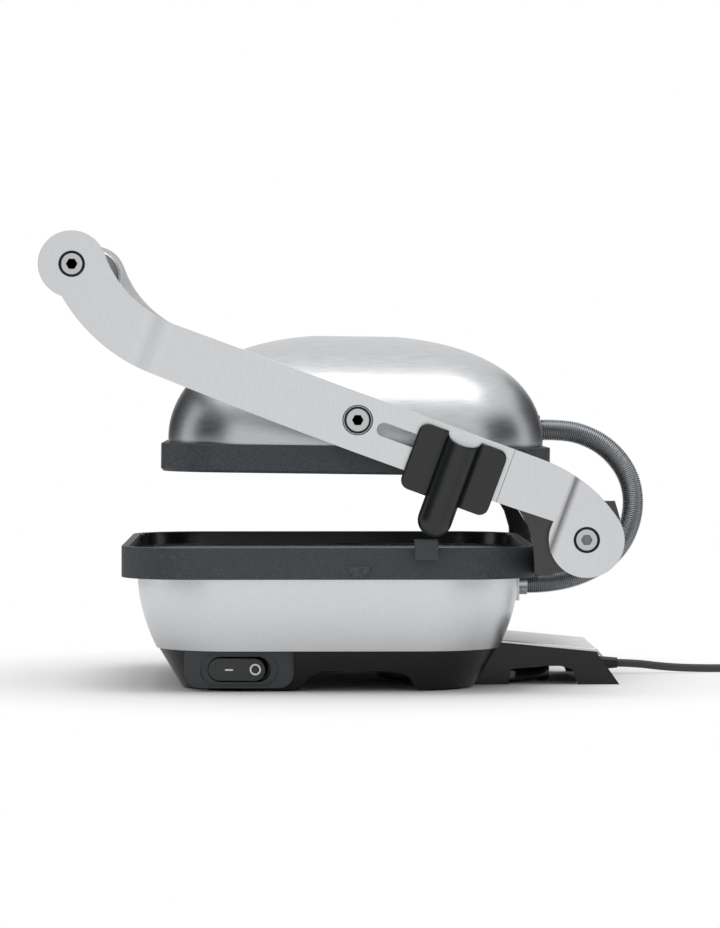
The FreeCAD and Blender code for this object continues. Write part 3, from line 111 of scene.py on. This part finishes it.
def brushed(material, tree, shader, where, stretch, line, dark, pale, rough, depth=0.004):
    """Brush marks: stretch is how many times longer a mark is along each axis, line its width in millimetres."""
    mapping = add(tree, "ShaderNodeMapping", {"Vector": where, "Scale": tuple(1 / (line * MM * s) for s in stretch)})
    noise = add(tree, "ShaderNodeTexNoise", {"Vector": mapping.outputs["Vector"], "Scale": 1.0, "Detail": 4.0,
                                             "Roughness": 0.65})
    colour = add(tree, "ShaderNodeValToRGB", {"Fac": noise.outputs["Fac"]})
    low, high = colour.color_ramp.elements
    low.position, low.color = 0.25, linear(dark)
    high.position, high.color = 0.75, linear(pale)
    tree.links.new(colour.outputs["Color"], shader.inputs["Base Color"])
    spread = add(tree, "ShaderNodeMapRange", {"Value": noise.outputs["Fac"], "From Min": 0.3, "From Max": 0.7,
                                              "To Min": rough[0], "To Max": rough[1]})
    tree.links.new(spread.outputs["Result"], shader.inputs["Roughness"])
    bump = add(tree, "ShaderNodeBump", {"Height": noise.outputs["Fac"], "Distance": depth * MM, "Strength": 0.5})
    tree.links.new(bump.outputs["Normal"], shader.inputs["Normal"])
    return material


# die-cast aluminium, linished and clear-coated: satin, with faint marks square to the arm
arm_satin = brushed(*surface("satin_die_cast_aluminium", "#D6D7D9", 0.36, 1.0), (1, 3, 16), 0.5, "#D2D3D5", "#DCDDDF",
                    (0.33, 0.38), 0.002)
# stainless steel sheet, brushed from the rim up: long soft bands of light
dome_steel = brushed(*surface("brushed_stainless_sheet", "#BFC1C3", 0.33, 1.0), (22, 22, 1), 0.5, "#B2B4B6", "#CACBCD",
                     (0.33, 0.42), 0.002)
# aluminium casting under a dark non-stick coat with pale flakes: dull, finely speckled
plate_coat = speckled(*surface("speckled_non_stick_coat", "#3B4044", 0.55), "#2B3034", "#7C8388", 0.45, 0.10)
# the same coat, polished by the mould inside the dish, shines; its near-black colour there is painted shade under the
# upper plate
dish_coat_painted_shade = grained(*surface("glossy_coat_painted_shade", "#15181A", 0.22, specular=0.6), 1.5, 0.02)
# housing sprayed with silver metallic paint: pale, a little grainy
silver_paint = speckled(*surface("silver_metallic_paint", "#D6D7D9", 0.34, 1.0), "#BFC1C4", "#DFE0E1", 0.35, 0.35)
# ABS, spark-eroded mould: even black with a fine grain
black_abs = grained(*surface("grained_black_abs", "#070808", 0.24, specular=0.4), 0.8, 0.05)
# glass-filled nylon of the clip: dark grey, satin
clip_nylon = grained(*surface("satin_nylon", "#17191B", 0.32), 0.9, 0.03)
# polished ABS of the switch panel
panel_abs = grained(*surface("dark_grey_abs", "#272B2E", 0.32), 1.0, 0.015)
# polycarbonate rocker: satin black
rocker_resin = grained(*surface("satin_polycarbonate", "#1F2224", 0.26), 1.0, 0.01)
marking_white = surface("printed_white", "#E9EAEA", 0.5)[0]
# gloss stoved enamel of the hinge bracket
gloss_enamel = surface("gloss_black_enamel", "#0D0E0F", 0.16, coat=0.6)[0]
# turned and zinc-plated steel: bright and smooth
zinc = grained(*surface("bright_zinc_plate", "#BFC1C3", 0.28, 1.0), 0.6, 0.01)
# painted shadow: flat near-black for the shade in the gap between a bolt head and its counterbore, used on the
# counterbore walls and on a thin ring round each head
gap_shadow = surface("painted_shadow_bolt_gap", "#0A0A0B", 0.7)[0]
# painted shade: the inside of each hex socket is darker, duller steel than the head, for the shade in the recess
painted_shade_socket = surface("painted_shade_socket_steel", "#9A9DA0", 0.6, 0.6)[0]
# spiral-wound galvanised hose
hose_steel = surface("galvanised_hose", "#8F9295", 0.3, 1.0)[0]
bronze = surface("sintered_bronze", "#9A7B4B", 0.45, 1.0)[0]
heat_steel = grained(*surface("heat_tinted_steel", "#6E6A66", 0.4, 1.0), 1.2, 0.02)
foot_rubber = grained(*surface("soft_black_rubber", "#1A1B1C", 0.8), 0.7, 0.05)
cord_vinyl = grained(*surface("dark_grey_vinyl", "#3A3E41", 0.55), 1.2, 0.02)
grip_nylon = grained(*surface("grained_black_nylon", "#1D1F21", 0.5), 1.0, 0.08)
lens_red = surface("red_lens", "#A81C12", 0.2, coat=0.5)[0]
lens_green = surface("green_lens", "#1E8A33", 0.2, coat=0.5)[0]

# ---------------------------------------------------------------- helpers for pieces


def dress(material, *names):
    """Gives CAD nodes that keep their shape a better material."""
    for name in names:
        slots = nodes[name].data.materials
        slots.clear()
        slots.append(material)
        for face in nodes[name].data.polygons:
            face.material_index = 0


def finished(name, bm, materials, body, replaced=(), sharp=40.0, weighted=True):
    """Turns a bmesh, in metres, into a piece that rides on its body."""
    for face in bm.faces:
        face.smooth = True
    for edge in bm.edges:
        if len(edge.link_faces) == 2 and edge.calc_face_angle(0.0) > math.radians(sharp):
            edge.smooth = False
    mesh = bpy.data.meshes.new(name)
    bm.to_mesh(mesh)
    bm.free()
    piece = bpy.data.objects.new(name, mesh)
    bpy.context.scene.collection.objects.link(piece)
    for material in materials:
        mesh.materials.append(material)
    if weighted:
        normals = piece.modifiers.new("even_normals", "WEIGHTED_NORMAL")
        normals.keep_sharp = True
        normals.weight = 100
    if body:
        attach(piece, body)
    if replaced:
        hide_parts(*replaced)
    return piece


def merged_copy(node):
    """A CAD node's mesh with its corners joined and its flat faces whole again."""
    bm = bmesh.new()
    bm.from_mesh(nodes[node].data)
    bmesh.ops.remove_doubles(bm, verts=bm.verts, dist=0.002 * MM)
    bmesh.ops.dissolve_limit(bm, angle_limit=math.radians(0.4), verts=bm.verts, edges=bm.edges)
    for face in bm.faces:
        face.material_index = 0
    return bm


def soften(bm, width, segments=3, angle=28.0, where=None):
    """Rounds the sharp edges that the test where(middle, edge) picks; width is the radius in millimetres."""
    picked = []
    for edge in bm.edges:
        if len(edge.link_faces) != 2 or edge.calc_face_angle(0.0) < math.radians(angle):
            continue
        middle = (edge.verts[0].co + edge.verts[1].co) / 2 / MM
        if where is None or where(middle, edge):
            picked.append(edge)
    bmesh.ops.bevel(bm, geom=picked, offset=width * MM, offset_type="OFFSET", segments=segments, profile=0.5,
                    affect="EDGES", clamp_overlap=True, loop_slide=True, material=-1)
    return len(picked)


def softened(node, width, material, body, segments=3, angle=28.0, where=None, name=None, more=()):
    """A CAD node with its edges rounded as the real piece's are."""
    bm = merged_copy(node)
    soften(bm, width, segments, angle, where)
    return finished(name or node + "_look", bm, [material, *more], body, (node,))


# ---------------------------------------------------------------- arms and bolts

low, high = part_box("pivot_bolts")
pivot = (Vector((0, low.y, low.z)) + Vector((0, high.y, high.z))) / 2 / MM
low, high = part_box("hinge_bolts")
hinge = (Vector((0, low.y, low.z)) + Vector((0, high.y, high.z))) / 2 / MM
low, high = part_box("handle_bolts")
grip = (Vector((0, low.y, low.z)) + Vector((0, high.y, high.z))) / 2 / MM
SLOPE = math.radians(20.2)
FORWARD = Vector((0, -math.cos(SLOPE), math.sin(SLOPE)))
UPWARD = Vector((0, math.sin(SLOPE), math.cos(SLOPE)))


def near_bore(point, reach=10.5):
    return any((Vector((0, point.y, point.z)) - axis).length < reach for axis in (pivot, hinge, grip))


def in_slot(point):
    place = Vector((0, point.y, point.z)) - pivot
    return abs(place.dot(UPWARD)) < 4.6 and -66 < place.dot(FORWARD) < -9


def arm(node, side):
    bm = merged_copy(node)
    soften(bm, 4.5, 6, 8, lambda p, e: all(abs(f.normal.x) > 0.8 for f in e.link_faces) and abs(p.x) > 130)
    soften(bm, 2.6, 5, 30, lambda p, e: not near_bore(p) and not (side > 0 and in_slot(p)))
    soften(bm, 0.5, 2, 50, lambda p, e: near_bore(p) or (side > 0 and in_slot(p)))
    # painted shadow: the counterbore walls round the bolts take the near-black gap_shadow material
    for face in bm.faces:
        middle = face.calc_center_median() / MM
        if near_bore(middle, 8.2) and abs(face.normal.x) < 0.5 and abs(middle.x) > 140:
            face.material_index = 1
    return finished(node + "_look", bm, [arm_satin, gap_shadow], "arms", (node,))


arm("right_arm", 1)
arm("left_arm", -1)


def lathe(bm, profile, centre, steps=40):
    """Spins a profile of (x, radius) points, in millimetres, round a line along X through the centre."""
    verts = [bm.verts.new(Vector((x, centre.y, centre.z + radius)) * MM) for x, radius in profile]
    edges = [bm.edges.new(pair) for pair in zip(verts, verts[1:])]
    bmesh.ops.spin(bm, geom=verts + edges, cent=Vector((0, centre.y, centre.z)) * MM, axis=(1, 0, 0),
                   angle=math.tau, steps=steps, use_merge=True)
    bmesh.ops.remove_doubles(bm, verts=bm.verts, dist=0.002 * MM)


def socket_head(bm, axis, side, top, head, inner):
    """A socket-head bolt: domed rim, six-sided socket with a drilled end, and a plain shank."""
    deep = 3.35
    rim = [(top - 0.6 + 0.6 * math.sin(math.radians(a)), head - 0.6 + 0.6 * math.cos(math.radians(a)))
           for a in range(0, 91, 30)]
    profile = [(inner, 0.0), (inner, 4.0), (top - deep, 4.0), (top - deep, head)] + rim + [(top, 4.0)]
    before = set(bm.verts)
    lathe(bm, [(side * x, r) for x, r in profile], axis, 48)
    ring = [e for e in bm.edges if e.is_boundary and not before.intersection(e.verts)]
    turn = Matrix.Translation(Vector((side * top, axis.y, axis.z)) * MM) @ Matrix.Rotation(math.pi / 2, 4, "Y")
    hexagon = bmesh.ops.create_circle(bm, segments=6, radius=3.35 * MM, matrix=turn)["verts"]
    edges = list({edge for vert in hexagon for edge in vert.link_edges})
    bmesh.ops.bridge_loops(bm, edges=ring + edges)
    for inward, share in ((0.3, 0.94), (2.3, 0.94), (3.1, 0.0)):
        made = bmesh.ops.extrude_edge_only(bm, edges=edges)["geom"]
        verts = [item for item in made if isinstance(item, bmesh.types.BMVert)]
        edges = [item for item in made if isinstance(item, bmesh.types.BMEdge)]
        for vert in verts:
            reach = (vert.co.y - axis.y * MM, vert.co.z - axis.z * MM)
            scale = 3.35 * MM * share / math.hypot(*reach)
            vert.co = Vector((side * (top - inward) * MM, axis.y * MM + reach[0] * scale,
                              axis.z * MM + reach[1] * scale))
    bmesh.ops.remove_doubles(bm, verts=bm.verts, dist=0.002 * MM)
    # painted shade: the faces inside the hex socket take the second, darker material
    for face in bm.faces:
        middle = face.calc_center_median() / MM
        near = math.hypot(middle.y - axis.y, middle.z - axis.z) < 3.3
        if near and top - 3.2 < abs(middle.x) < top - 0.05:
            face.material_index = 1


def bolt_pair(node, axis, face, head, inner, body):
    bm = bmesh.new()
    for side in (-1, 1):
        socket_head(bm, axis, side, face - 0.5, head - 0.35, inner)
    bmesh.ops.recalc_face_normals(bm, faces=bm.faces)
    finished(node + "_look", bm, [zinc, painted_shade_socket], body, (node,), 30)
    # painted shadow: a thin near-black ring just outside each bolt head stands for the shade in the gap to its
    # counterbore
    ring = bmesh.new()
    for side in (-1, 1):
        seat, outer = side * (face - 0.62), head + 0.62
        lathe(ring, [(seat, head - 0.5), (seat, outer), (seat - side * 0.5, outer), (seat - side * 0.5, head - 0.5),
                     (seat, head - 0.5)], axis, 48)
    bmesh.ops.recalc_face_normals(ring, faces=ring.faces)
    return finished(node + "_painted_shadow_rings", ring, [gap_shadow], body)


ARM_OUT, ARM_FACE, ARM_IN, CHEEK_IN = 150.0, 146.5, 138.5, 127.0
bolt_pair("hinge_bolts", hinge, ARM_OUT, 6.65, CHEEK_IN, "hinge_pins")
bolt_pair("handle_bolts", grip, ARM_OUT, 6.65, ARM_IN - 12, "arms")
bolt_pair("pivot_bolts", pivot, ARM_FACE + 0.8, 7.05, ARM_IN - 32, "lid")

# ---------------------------------------------------------------- clip, bracket, stand, tray and plates

softened("hinge_bracket", 1.2, gloss_enamel, "base", 3, 12)
softened("rear_stand", 1.2, black_abs, "base", 3)
softened("rear_stand_cover", 0.6, silver_paint, "base", 3, 12)
softened("base_tray", 0.8, black_abs, "base", 3, 35)
softened("cord_wrap_disc", 1.6, gloss_enamel, "base", 4, 50)
softened("switch_panel", 0.7, panel_abs, "base", 3, 40)
softened("mains_plug", 2.2, cord_vinyl, "base", 3, 60, lambda p, e: p.x > -138)
softened("rubber_feet", 0.8, foot_rubber, "base", 3, 60)
softened("handle_collars", 1.2, arm_satin, "arms", 3, 60)


def lower_plate():
    bm = merged_copy("lower_plate")
    soften(bm, 1.4, 4, 40, lambda p, e: p.z > 60)
    for face in bm.faces:
        # painted shade: the dish's floor and inner walls take the near-black coat, for the shade under the upper plate
        middle = face.calc_center_median() / MM
        outward = face.normal.dot(Vector((middle.x, middle.y, 0)))
        if 70 < middle.z < 83.2 and (face.normal.z > 0.5 or outward < 0) and abs(middle.x) < 130:
            face.material_index = 1
    return finished("lower_plate_look", bm, [plate_coat, dish_coat_painted_shade], "base", ("lower_plate",))


def upper_plate():
    bm = merged_copy("upper_plate")
    low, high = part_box("upper_plate")
    edge_y = (low.y / MM + 6, high.y / MM - 6)
    soften(bm, 3.2, 4, 20, lambda p, e: p.z < 129.5 and (abs(p.x) > 118 or not edge_y[0] < p.y < edge_y[1]))
    soften(bm, 0.8, 3, 50, lambda p, e: p.z > 138)
    return finished("upper_plate_look", bm, [plate_coat], "lid", ("upper_plate",))


lower_plate()
upper_plate()

# ---------------------------------------------------------------- height clip


def on_arm(s, n, x):
    """A point of the arm's own frame, in metres: s forward from the lid pivot, n square to the arm."""
    return (pivot + FORWARD * s + UPWARD * n + Vector((x, 0, 0))) * MM


CLIP_S, CLIP_BACK = -61.0, 147.2


COLUMN, PAD_EDGE, PAD_LOW, PAD_TOP = 9.9, 26.4, -27.2, 12.3


def eased(distance, radius):
    """How far a rounded edge of a radius has dropped, at a distance in from the rim."""
    short = radius - min(max(distance, 0.0), radius)
    return radius - math.sqrt(max(0.0, radius * radius - short * short))


def scoop(s):
    """The top line of the clip: level over the pads, and a shallow bow over the column."""
    return PAD_TOP - (5.0 * math.sqrt(1 - (s / COLUMN) ** 2) + 0.3 if abs(s) < COLUMN else 0.0)


def clip_sheet(bm, columns, rows, place):
    """A closed pad: a grid laid over the shape that place(u, v) gives, and a flat back."""
    made = bmesh.ops.create_grid(bm, x_segments=columns, y_segments=rows, size=1.0)["verts"]
    for vert in made:
        vert.co = on_arm(*place(vert.co.x, (vert.co.y + 1) / 2))
    rim = list({e for vert in made for e in vert.link_edges if e.is_boundary})
    wall = bmesh.ops.extrude_edge_only(bm, edges=rim)["geom"]
    back = [item for item in wall if isinstance(item, bmesh.types.BMVert)]
    for vert in back:
        vert.co.x = CLIP_BACK * MM
    bmesh.ops.contextual_create(bm, geom=[item for item in wall if isinstance(item, bmesh.types.BMEdge)])


def pad_point(u, v):
    """The two wings and the flutes that they roll into."""
    s = PAD_EDGE * math.sin(u * math.pi / 2) * (0.75 + 0.25 * abs(u)) if abs(u) < 1 else math.copysign(PAD_EDGE, u)
    cut = eased(PAD_EDGE - abs(s), 5.5)
    low, top = PAD_LOW + cut, scoop(s) - cut
    v = (1 - math.cos(v * math.pi)) / 2
    n = low + v * (top - low)
    height = 4.6 - 3.2 * eased(abs(s) - COLUMN + 1.5, 5.0) / 5.0 if abs(s) > COLUMN - 1.5 else 1.4
    return CLIP_S + s, n, CLIP_BACK + max(0.2, height - eased(min(n - low, top - n, PAD_EDGE - abs(s)) + 0.1, 1.3))


def column_point(u, v):
    """The half-round column, domed at its foot and bowed at its head."""
    across = math.sin(u * math.pi / 2)
    s = across * COLUMN
    low = -48.1 + COLUMN - math.sqrt(COLUMN * COLUMN - s * s)
    top = scoop(s * 0.999)
    n = low + (1 - math.cos(v * math.pi)) / 2 * (top - low)
    swell = math.sqrt(max(0.0, 1 - across * across))
    foot = min(1.0, (n + 48.1) / COLUMN)
    round_foot = math.sqrt(max(0.0, 1 - (1 - foot) ** 2 - across * across)) if foot < 1 else swell
    return CLIP_S + s, n, CLIP_BACK + max(0.1, 8.3 * round_foot ** 0.85 - eased(top - n, 1.2))


def height_clip():
    bm = bmesh.new()
    clip_sheet(bm, 72, 40, pad_point)
    clip_sheet(bm, 40, 72, column_point)
    bmesh.ops.recalc_face_normals(bm, faces=bm.faces)
    return finished("height_clip_look", bm, [clip_nylon], "clip", ("height_clip",), 60, False)


height_clip()

# ---------------------------------------------------------------- rocker

low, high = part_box("switch_panel")
PANEL_FACE = high.x / MM
AXLE = Vector((PANEL_FACE - 9.0, -51.9, 12.9))
TIP = Matrix.Rotation(math.radians(-7.5), 4, "Z")


def on_rocker(along, up, lift=0.0):
    """A point on the rocker's shallow V face, in metres, along it and up it from its middle."""
    out = 9.6 + 2.8 * abs(along) / 30 + lift
    return (AXLE + TIP @ Vector((out, along, up))) * MM


def rocker():
    bm = merged_copy("power_rocker")
    soften(bm, 0.7, 3, 50, lambda p, e: p.x > 100)
    return finished("power_rocker_look", bm, [rocker_resin], "rocker", ("power_rocker",))


def rocker_marks():
    """The plain on and off signs, printed proud of the face: a bar and a ring."""
    bm = bmesh.new()
    bar = bmesh.ops.create_grid(bm, x_segments=1, y_segments=1, size=1.0)["verts"]
    for vert in bar:
        vert.co = on_rocker(-4.6 + 2.3 * vert.co.x, -0.2 + 0.45 * vert.co.y, 0.12)
    loops = []
    for radius in (2.4, 3.3):
        ring = bmesh.ops.create_circle(bm, segments=40, radius=radius)["verts"]
        for vert in ring:
            vert.co = on_rocker(10.9 + vert.co.x, 0.2 + vert.co.y, 0.12)
        loops += list({edge for vert in ring for edge in vert.link_edges})
    bmesh.ops.bridge_loops(bm, edges=loops)
    bmesh.ops.solidify(bm, geom=bm.faces[:], thickness=0.1 * MM)
    bmesh.ops.recalc_face_normals(bm, faces=bm.faces)
    return finished("rocker_marks", bm, [marking_white], "rocker")


rocker()
rocker_marks()

# ---------------------------------------------------------------- handle


def handle_grip():
    """The turned grip: a slow waist, and three grooves near each end."""
    end, bore = ARM_IN - 7.4, 6.1
    profile = [(-end, bore), (-end, 13.6)]
    for i in range(121):
        x = -end + 1.4 + (2 * end - 2.8) * i / 120
        share = x / end
        groove = max(0.0, 1 - min(abs(abs(x) - place) for place in (114, 119, 124)) / 1.2)
        profile.append((x, 13.7 + 1.7 * share * share - 0.9 * groove))
    profile += [(end, 13.6), (end, bore)]
    bm = bmesh.new()
    lathe(bm, profile, grip, 64)
    bmesh.ops.recalc_face_normals(bm, faces=bm.faces)
    return finished("handle_grip_look", bm, [grip_nylon], "arms", ("handle_grip",), 35, False)


handle_grip()

# ---------------------------------------------------------------- hose and cord


def smooth_route(points):
    """The points of the smooth line that a route of control points makes, in metres."""
    data = bpy.data.curves.new("route", "CURVE")
    data.dimensions = "3D"
    data.resolution_u = 20
    fill_spline(data, points)
    item = bpy.data.objects.new("route", data)
    bpy.context.scene.collection.objects.link(item)
    bpy.context.view_layer.update()
    mesh = bpy.data.meshes.new_from_object(item)
    line = [vert.co.copy() for vert in mesh.vertices]
    bpy.data.objects.remove(item)
    bpy.data.meshes.remove(mesh)
    return line


def fill_spline(data, points):
    spline = data.splines.new("NURBS")
    spline.points.add(len(points) - 1)
    for place, point in zip(spline.points, points):
        place.co = (*point, 1.0)
    spline.order_u = 3
    spline.use_endpoint_u = True
    return spline


def even_steps(line, gap):
    """The same line as points an even gap apart, in metres."""
    steps, left = [line[0]], gap
    for a, b in zip(line, line[1:]):
        run = (b - a).length
        while run > left:
            a = a + (b - a) * (left / run)
            steps.append(a.copy())
            run -= left
            left = gap
        left -= run
    return steps


HOSE_ROUTE = [(0, 0.1215, 0.0579), (0, 0.1338, 0.0579), (0, 0.1538, 0.0624), (0, 0.1708, 0.0719), (0, 0.1818, 0.0859),
              (0, 0.1868, 0.1049), (0, 0.1833, 0.1239), (0, 0.1708, 0.1399), (0, 0.1538, 0.1489),
              (0, 0.13725, 0.1508), (0, 0.12945, 0.1505)]
HOSE_RADIUS, RIB_PITCH, RIB_DEPTH, RIB_STEPS = 6.45, 1.15, 0.5, 6


def hose_piece(name, line, first, last, replaced=()):
    """A stretch of the spiral-wound hose, which runs between two bodies; this piece is a fixed mesh that rides on
    neither.
    """
    around = 24
    bm = bmesh.new()
    bmesh.ops.create_grid(bm, x_segments=last - first, y_segments=around, size=1.0)
    for vert in bm.verts:
        i = first + round((vert.co.x + 1) / 2 * (last - first))
        turn = (vert.co.y + 1) / 2 * math.tau
        along = (line[min(i + 1, len(line) - 1)] - line[max(i - 1, 0)]).normalized()
        side = Vector((1, 0, 0))
        outward = side.cross(along)
        wave = 0.5 + 0.5 * math.cos(math.tau * i / RIB_STEPS - turn)
        radius = (HOSE_RADIUS - RIB_DEPTH * (1 - wave)) * MM
        vert.co = line[i] + (side * math.cos(turn) + outward * math.sin(turn)) * radius
    bmesh.ops.remove_doubles(bm, verts=bm.verts, dist=0.004 * MM)
    bmesh.ops.holes_fill(bm, edges=[e for e in bm.edges if e.is_boundary], sides=around + 2)
    bmesh.ops.recalc_face_normals(bm, faces=bm.faces)
    piece = finished(name, bm, [hose_steel], None, replaced, 60, False)
    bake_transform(piece)
    return piece


hose_line = even_steps(smooth_route(HOSE_ROUTE), RIB_PITCH / RIB_STEPS * MM)
rings = len(hose_line) - 1
low_cut, high_cut = int(rings * 0.27), int(rings * 0.86)
hose_piece("hose_low", hose_line, 0, low_cut, ("conduit",))
hose_piece("hose_back", hose_line, low_cut, high_cut)
hose_piece("hose_high", hose_line, high_cut, rings)

CORD_RADIUS = 2.5
COIL = Vector((-72.0, 289.4))
COIL_MEAN, TURN_STEP = 28.0, 24
# where the cord lies in the bundle: angle round the coil, distance out from its middle line, and height
STATIONS = ((0, 0.6, 2.6), (60, 2.55, 2.7), (290, 2.55, 2.7), (350, -2.55, 2.7), (560, -2.55, 2.7), (640, -5.1, 7.3),
            (820, -5.1, 7.3), (900, 0.0, 7.4), (1090, 0.0, 7.4), (1170, 5.1, 7.4), (1380, 5.1, 7.4), (1455, 2.5, 11.9),
            (1530, 2.5, 11.9))


def in_bundle(angle):
    for (a, out_a, up_a), (b, out_b, up_b) in zip(STATIONS, STATIONS[1:]):
        if a <= angle <= b:
            share = (angle - a) / (b - a)
            share = share * share * (3 - 2 * share)
            return out_a + (out_b - out_a) * share, up_a + (up_b - up_a) * share
    return STATIONS[-1][1:]


def mains_cord():
    points = [(-38, 167.4, 6.6), (-38, 188.4, 6.6), (-40.4, 209.4, 3.7), (-44.2, 231.4, 2.6), (-46.2, 253.4, 2.6),
              (-45.0, 271.4, 2.6)]
    swell = 1 / math.cos(math.radians(TURN_STEP / 2))
    for angle in range(4, 1530, TURN_STEP):
        out, up = in_bundle(angle)
        reach = (COIL_MEAN + out) * swell
        turned = math.radians(angle)
        points.append((COIL.x + reach * math.cos(turned), COIL.y + reach * math.sin(turned), up))
    points += [(-84, 319.4, 11.0), (-95, 317.9, 8.6), (-101, 317.4, 7.6), (-105, 317.4, 7.5)]
    data = bpy.data.curves.new("mains_cord_look", "CURVE")
    data.dimensions = "3D"
    data.resolution_u = 6
    data.bevel_depth = CORD_RADIUS * MM
    data.bevel_resolution = 3
    data.use_fill_caps = True
    fill_spline(data, [tuple(c * MM for c in point) for point in points])
    data.materials.append(cord_vinyl)
    item = bpy.data.objects.new("mains_cord_look", data)
    bpy.context.scene.collection.objects.link(item)
    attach(item, "base")
    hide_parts("mains_cord", "cord_coil")
    return item


cord_look = mains_cord()


def coil_tie():
    """The strap that holds the coil's turns together."""
    bm = bmesh.new()
    angle = math.radians(215)
    place = Vector((COIL.x + COIL_MEAN * math.cos(angle), COIL.y + COIL_MEAN * math.sin(angle), 7.9)) * MM
    turn = Matrix.Rotation(angle, 4, "Z") @ Matrix.Rotation(math.pi / 2, 4, "X")
    bmesh.ops.create_cone(bm, cap_ends=False, segments=40, radius1=7.8 * MM, radius2=7.8 * MM, depth=4 * MM,
                          matrix=Matrix.Translation(place) @ turn)
    bmesh.ops.solidify(bm, geom=bm.faces[:], thickness=0.6 * MM)
    bmesh.ops.recalc_face_normals(bm, faces=bm.faces)
    return finished("cord_tie", bm, [black_abs], "base")


tie = coil_tie()

dress(dome_steel, "lid_dome")
dress(silver_paint, "lower_housing")
dress(gloss_enamel, "upper_conduit_flange")
dress(zinc, "clip_stud", "clip_washer", "hinge_washers", "pivot_washers", "handle_tie_rod", "bracket_bolts",
      "base_screws",
      "upper_plate_screws", "lower_conduit_fitting", "lower_thermostat", "thermal_fuse", "upper_thermostat",
      "lid_chassis", "lower_reflector")
dress(arm_satin, "pivot_blocks")
dress(bronze, "hinge_bushes", "pivot_bushes")
dress(heat_steel, "lower_element", "upper_element")
dress(black_abs, "switch_body", "terminal_block", "cord_gland")
dress(cord_vinyl, "base_wiring", "lid_wiring")
dress(lens_red, "power_light")
dress(lens_green, "ready_light")

# ---------------------------------------------------------------- floor, light and camera


def card(name, size, place, aim, material):
    """A flat board of the studio, facing the point it aims at."""
    bm = bmesh.new()
    bmesh.ops.create_grid(bm, x_segments=1, y_segments=1, size=0.5)
    bmesh.ops.scale(bm, vec=(size[0], size[1], 1), verts=bm.verts)
    turn = (Vector(aim) - Vector(place)).to_track_quat("Z", "Y").to_matrix().to_4x4()
    bmesh.ops.transform(bm, matrix=Matrix.Translation(place) @ turn, verts=bm.verts)
    mesh = bpy.data.meshes.new(name)
    bm.to_mesh(mesh)
    bm.free()
    mesh.materials.append(material)
    board = bpy.data.objects.new(name, mesh)
    bpy.context.scene.collection.objects.link(board)
    return board


def background_ray(tree):
    """One for a ray that sees the background, straight or through a mirror or glass, and nought for the rest."""
    ray = add(tree, "ShaderNodeLightPath")
    seen = add(tree, "ShaderNodeMath", {0: ray.outputs["Is Camera Ray"], 1: ray.outputs["Is Glossy Ray"]},
               operation="MAXIMUM")
    return add(tree, "ShaderNodeMath", {0: seen.outputs[0], 1: ray.outputs["Is Transmission Ray"]},
               operation="MAXIMUM")


def paper():
    """White studio paper: it holds the shadow near the object and fades to plain white further out."""
    material, tree, shader, where = surface("white_paper", "#FAFAFA", 0.9)
    away = add(tree, "ShaderNodeVectorMath", {0: where}, operation="LENGTH")
    fade = add(tree, "ShaderNodeMapRange", {"Value": away.outputs["Value"], "From Min": 0.15, "From Max": 0.3})
    seen = background_ray(tree)
    share = add(tree, "ShaderNodeMath", {0: seen.outputs[0], 1: fade.outputs["Result"]}, operation="MULTIPLY")
    glow = add(tree, "ShaderNodeEmission", {"Color": linear("#FFFFFF"), "Strength": 1.0})
    mix = add(tree, "ShaderNodeMixShader", {0: share.outputs[0], 1: shader.outputs["BSDF"], 2: glow.outputs[0]})
    out = next(item for item in tree.nodes if item.type == "OUTPUT_MATERIAL")
    tree.links.new(mix.outputs[0], out.inputs["Surface"])
    return material


def world_light():
    """A white studio: plain white where it is seen or mirrored, and a little lower where it lights the object."""
    world = bpy.data.worlds.new("studio")
    bpy.context.scene.world = world
    world.use_nodes = True
    tree = world.node_tree
    tree.nodes.clear()
    seen = background_ray(tree)
    strength = add(tree, "ShaderNodeMapRange", {"Value": seen.outputs[0], "To Min": 0.7, "To Max": 1.0})
    background = add(tree, "ShaderNodeBackground", {"Color": linear("#FFFFFF"), "Strength": strength.outputs["Result"]})
    add(tree, "ShaderNodeOutputWorld", {"Surface": background.outputs[0]})


def softbox(name, place, aim, size, power):
    light = bpy.data.lights.new(name, "AREA")
    light.shape = "RECTANGLE"
    light.size, light.size_y = size
    light.energy = power
    lamp = bpy.data.objects.new(name, light)
    bpy.context.scene.collection.objects.link(lamp)
    lamp.location = place
    lamp.rotation_euler = (Vector(aim) - Vector(place)).to_track_quat("-Z", "Y").to_euler()


card("floor", (12, 12), (0, 0, 0), (0, 0, 1), paper())
# dark boards round the object, out of the picture: they draw the soft dark edges on the metal
dark_card = surface("dark_board", "#1B1D20", 0.9)[0]
CARDS = (("board_front", (1.2, 1.3), (0.75, -0.95, 0.35)), ("board_rear", (1.2, 1.3), (0.75, 1.0, 0.35)),
         ("board_front_left", (1.2, 1.3), (-0.75, -0.95, 0.35)), ("board_rear_left", (1.2, 1.3), (-0.75, 1.0, 0.35)))
for name, size, place in CARDS:
    board = card(name, size, place, (0, 0, 0.15), dark_card)
    board.visible_camera = False
    board.visible_diffuse = False
    board.visible_shadow = False

world_light()
softbox("overhead", (0.25, 0.0, 1.7), (0, 0, 0.1), (1.2, 1.0), 9)

CAMERA_DISTANCE, FOCAL_PIXELS = 2530.0, 4175.0
camera_data = bpy.data.cameras.new("camera")
camera_data.sensor_width = 36.0
camera_data.lens = 36.0 * FOCAL_PIXELS / 928
camera = bpy.data.objects.new("camera", camera_data)
bpy.context.scene.collection.objects.link(camera)
camera.location = (CAMERA_DISTANCE * MM, -24.1 * MM, 182 * MM)
camera.rotation_euler = Vector((-1, 73 / FOCAL_PIXELS, -86 / FOCAL_PIXELS)).to_track_quat("-Z", "Y").to_euler()
bpy.context.scene.camera = camera
bpy.context.scene.view_settings.view_transform = "Standard"
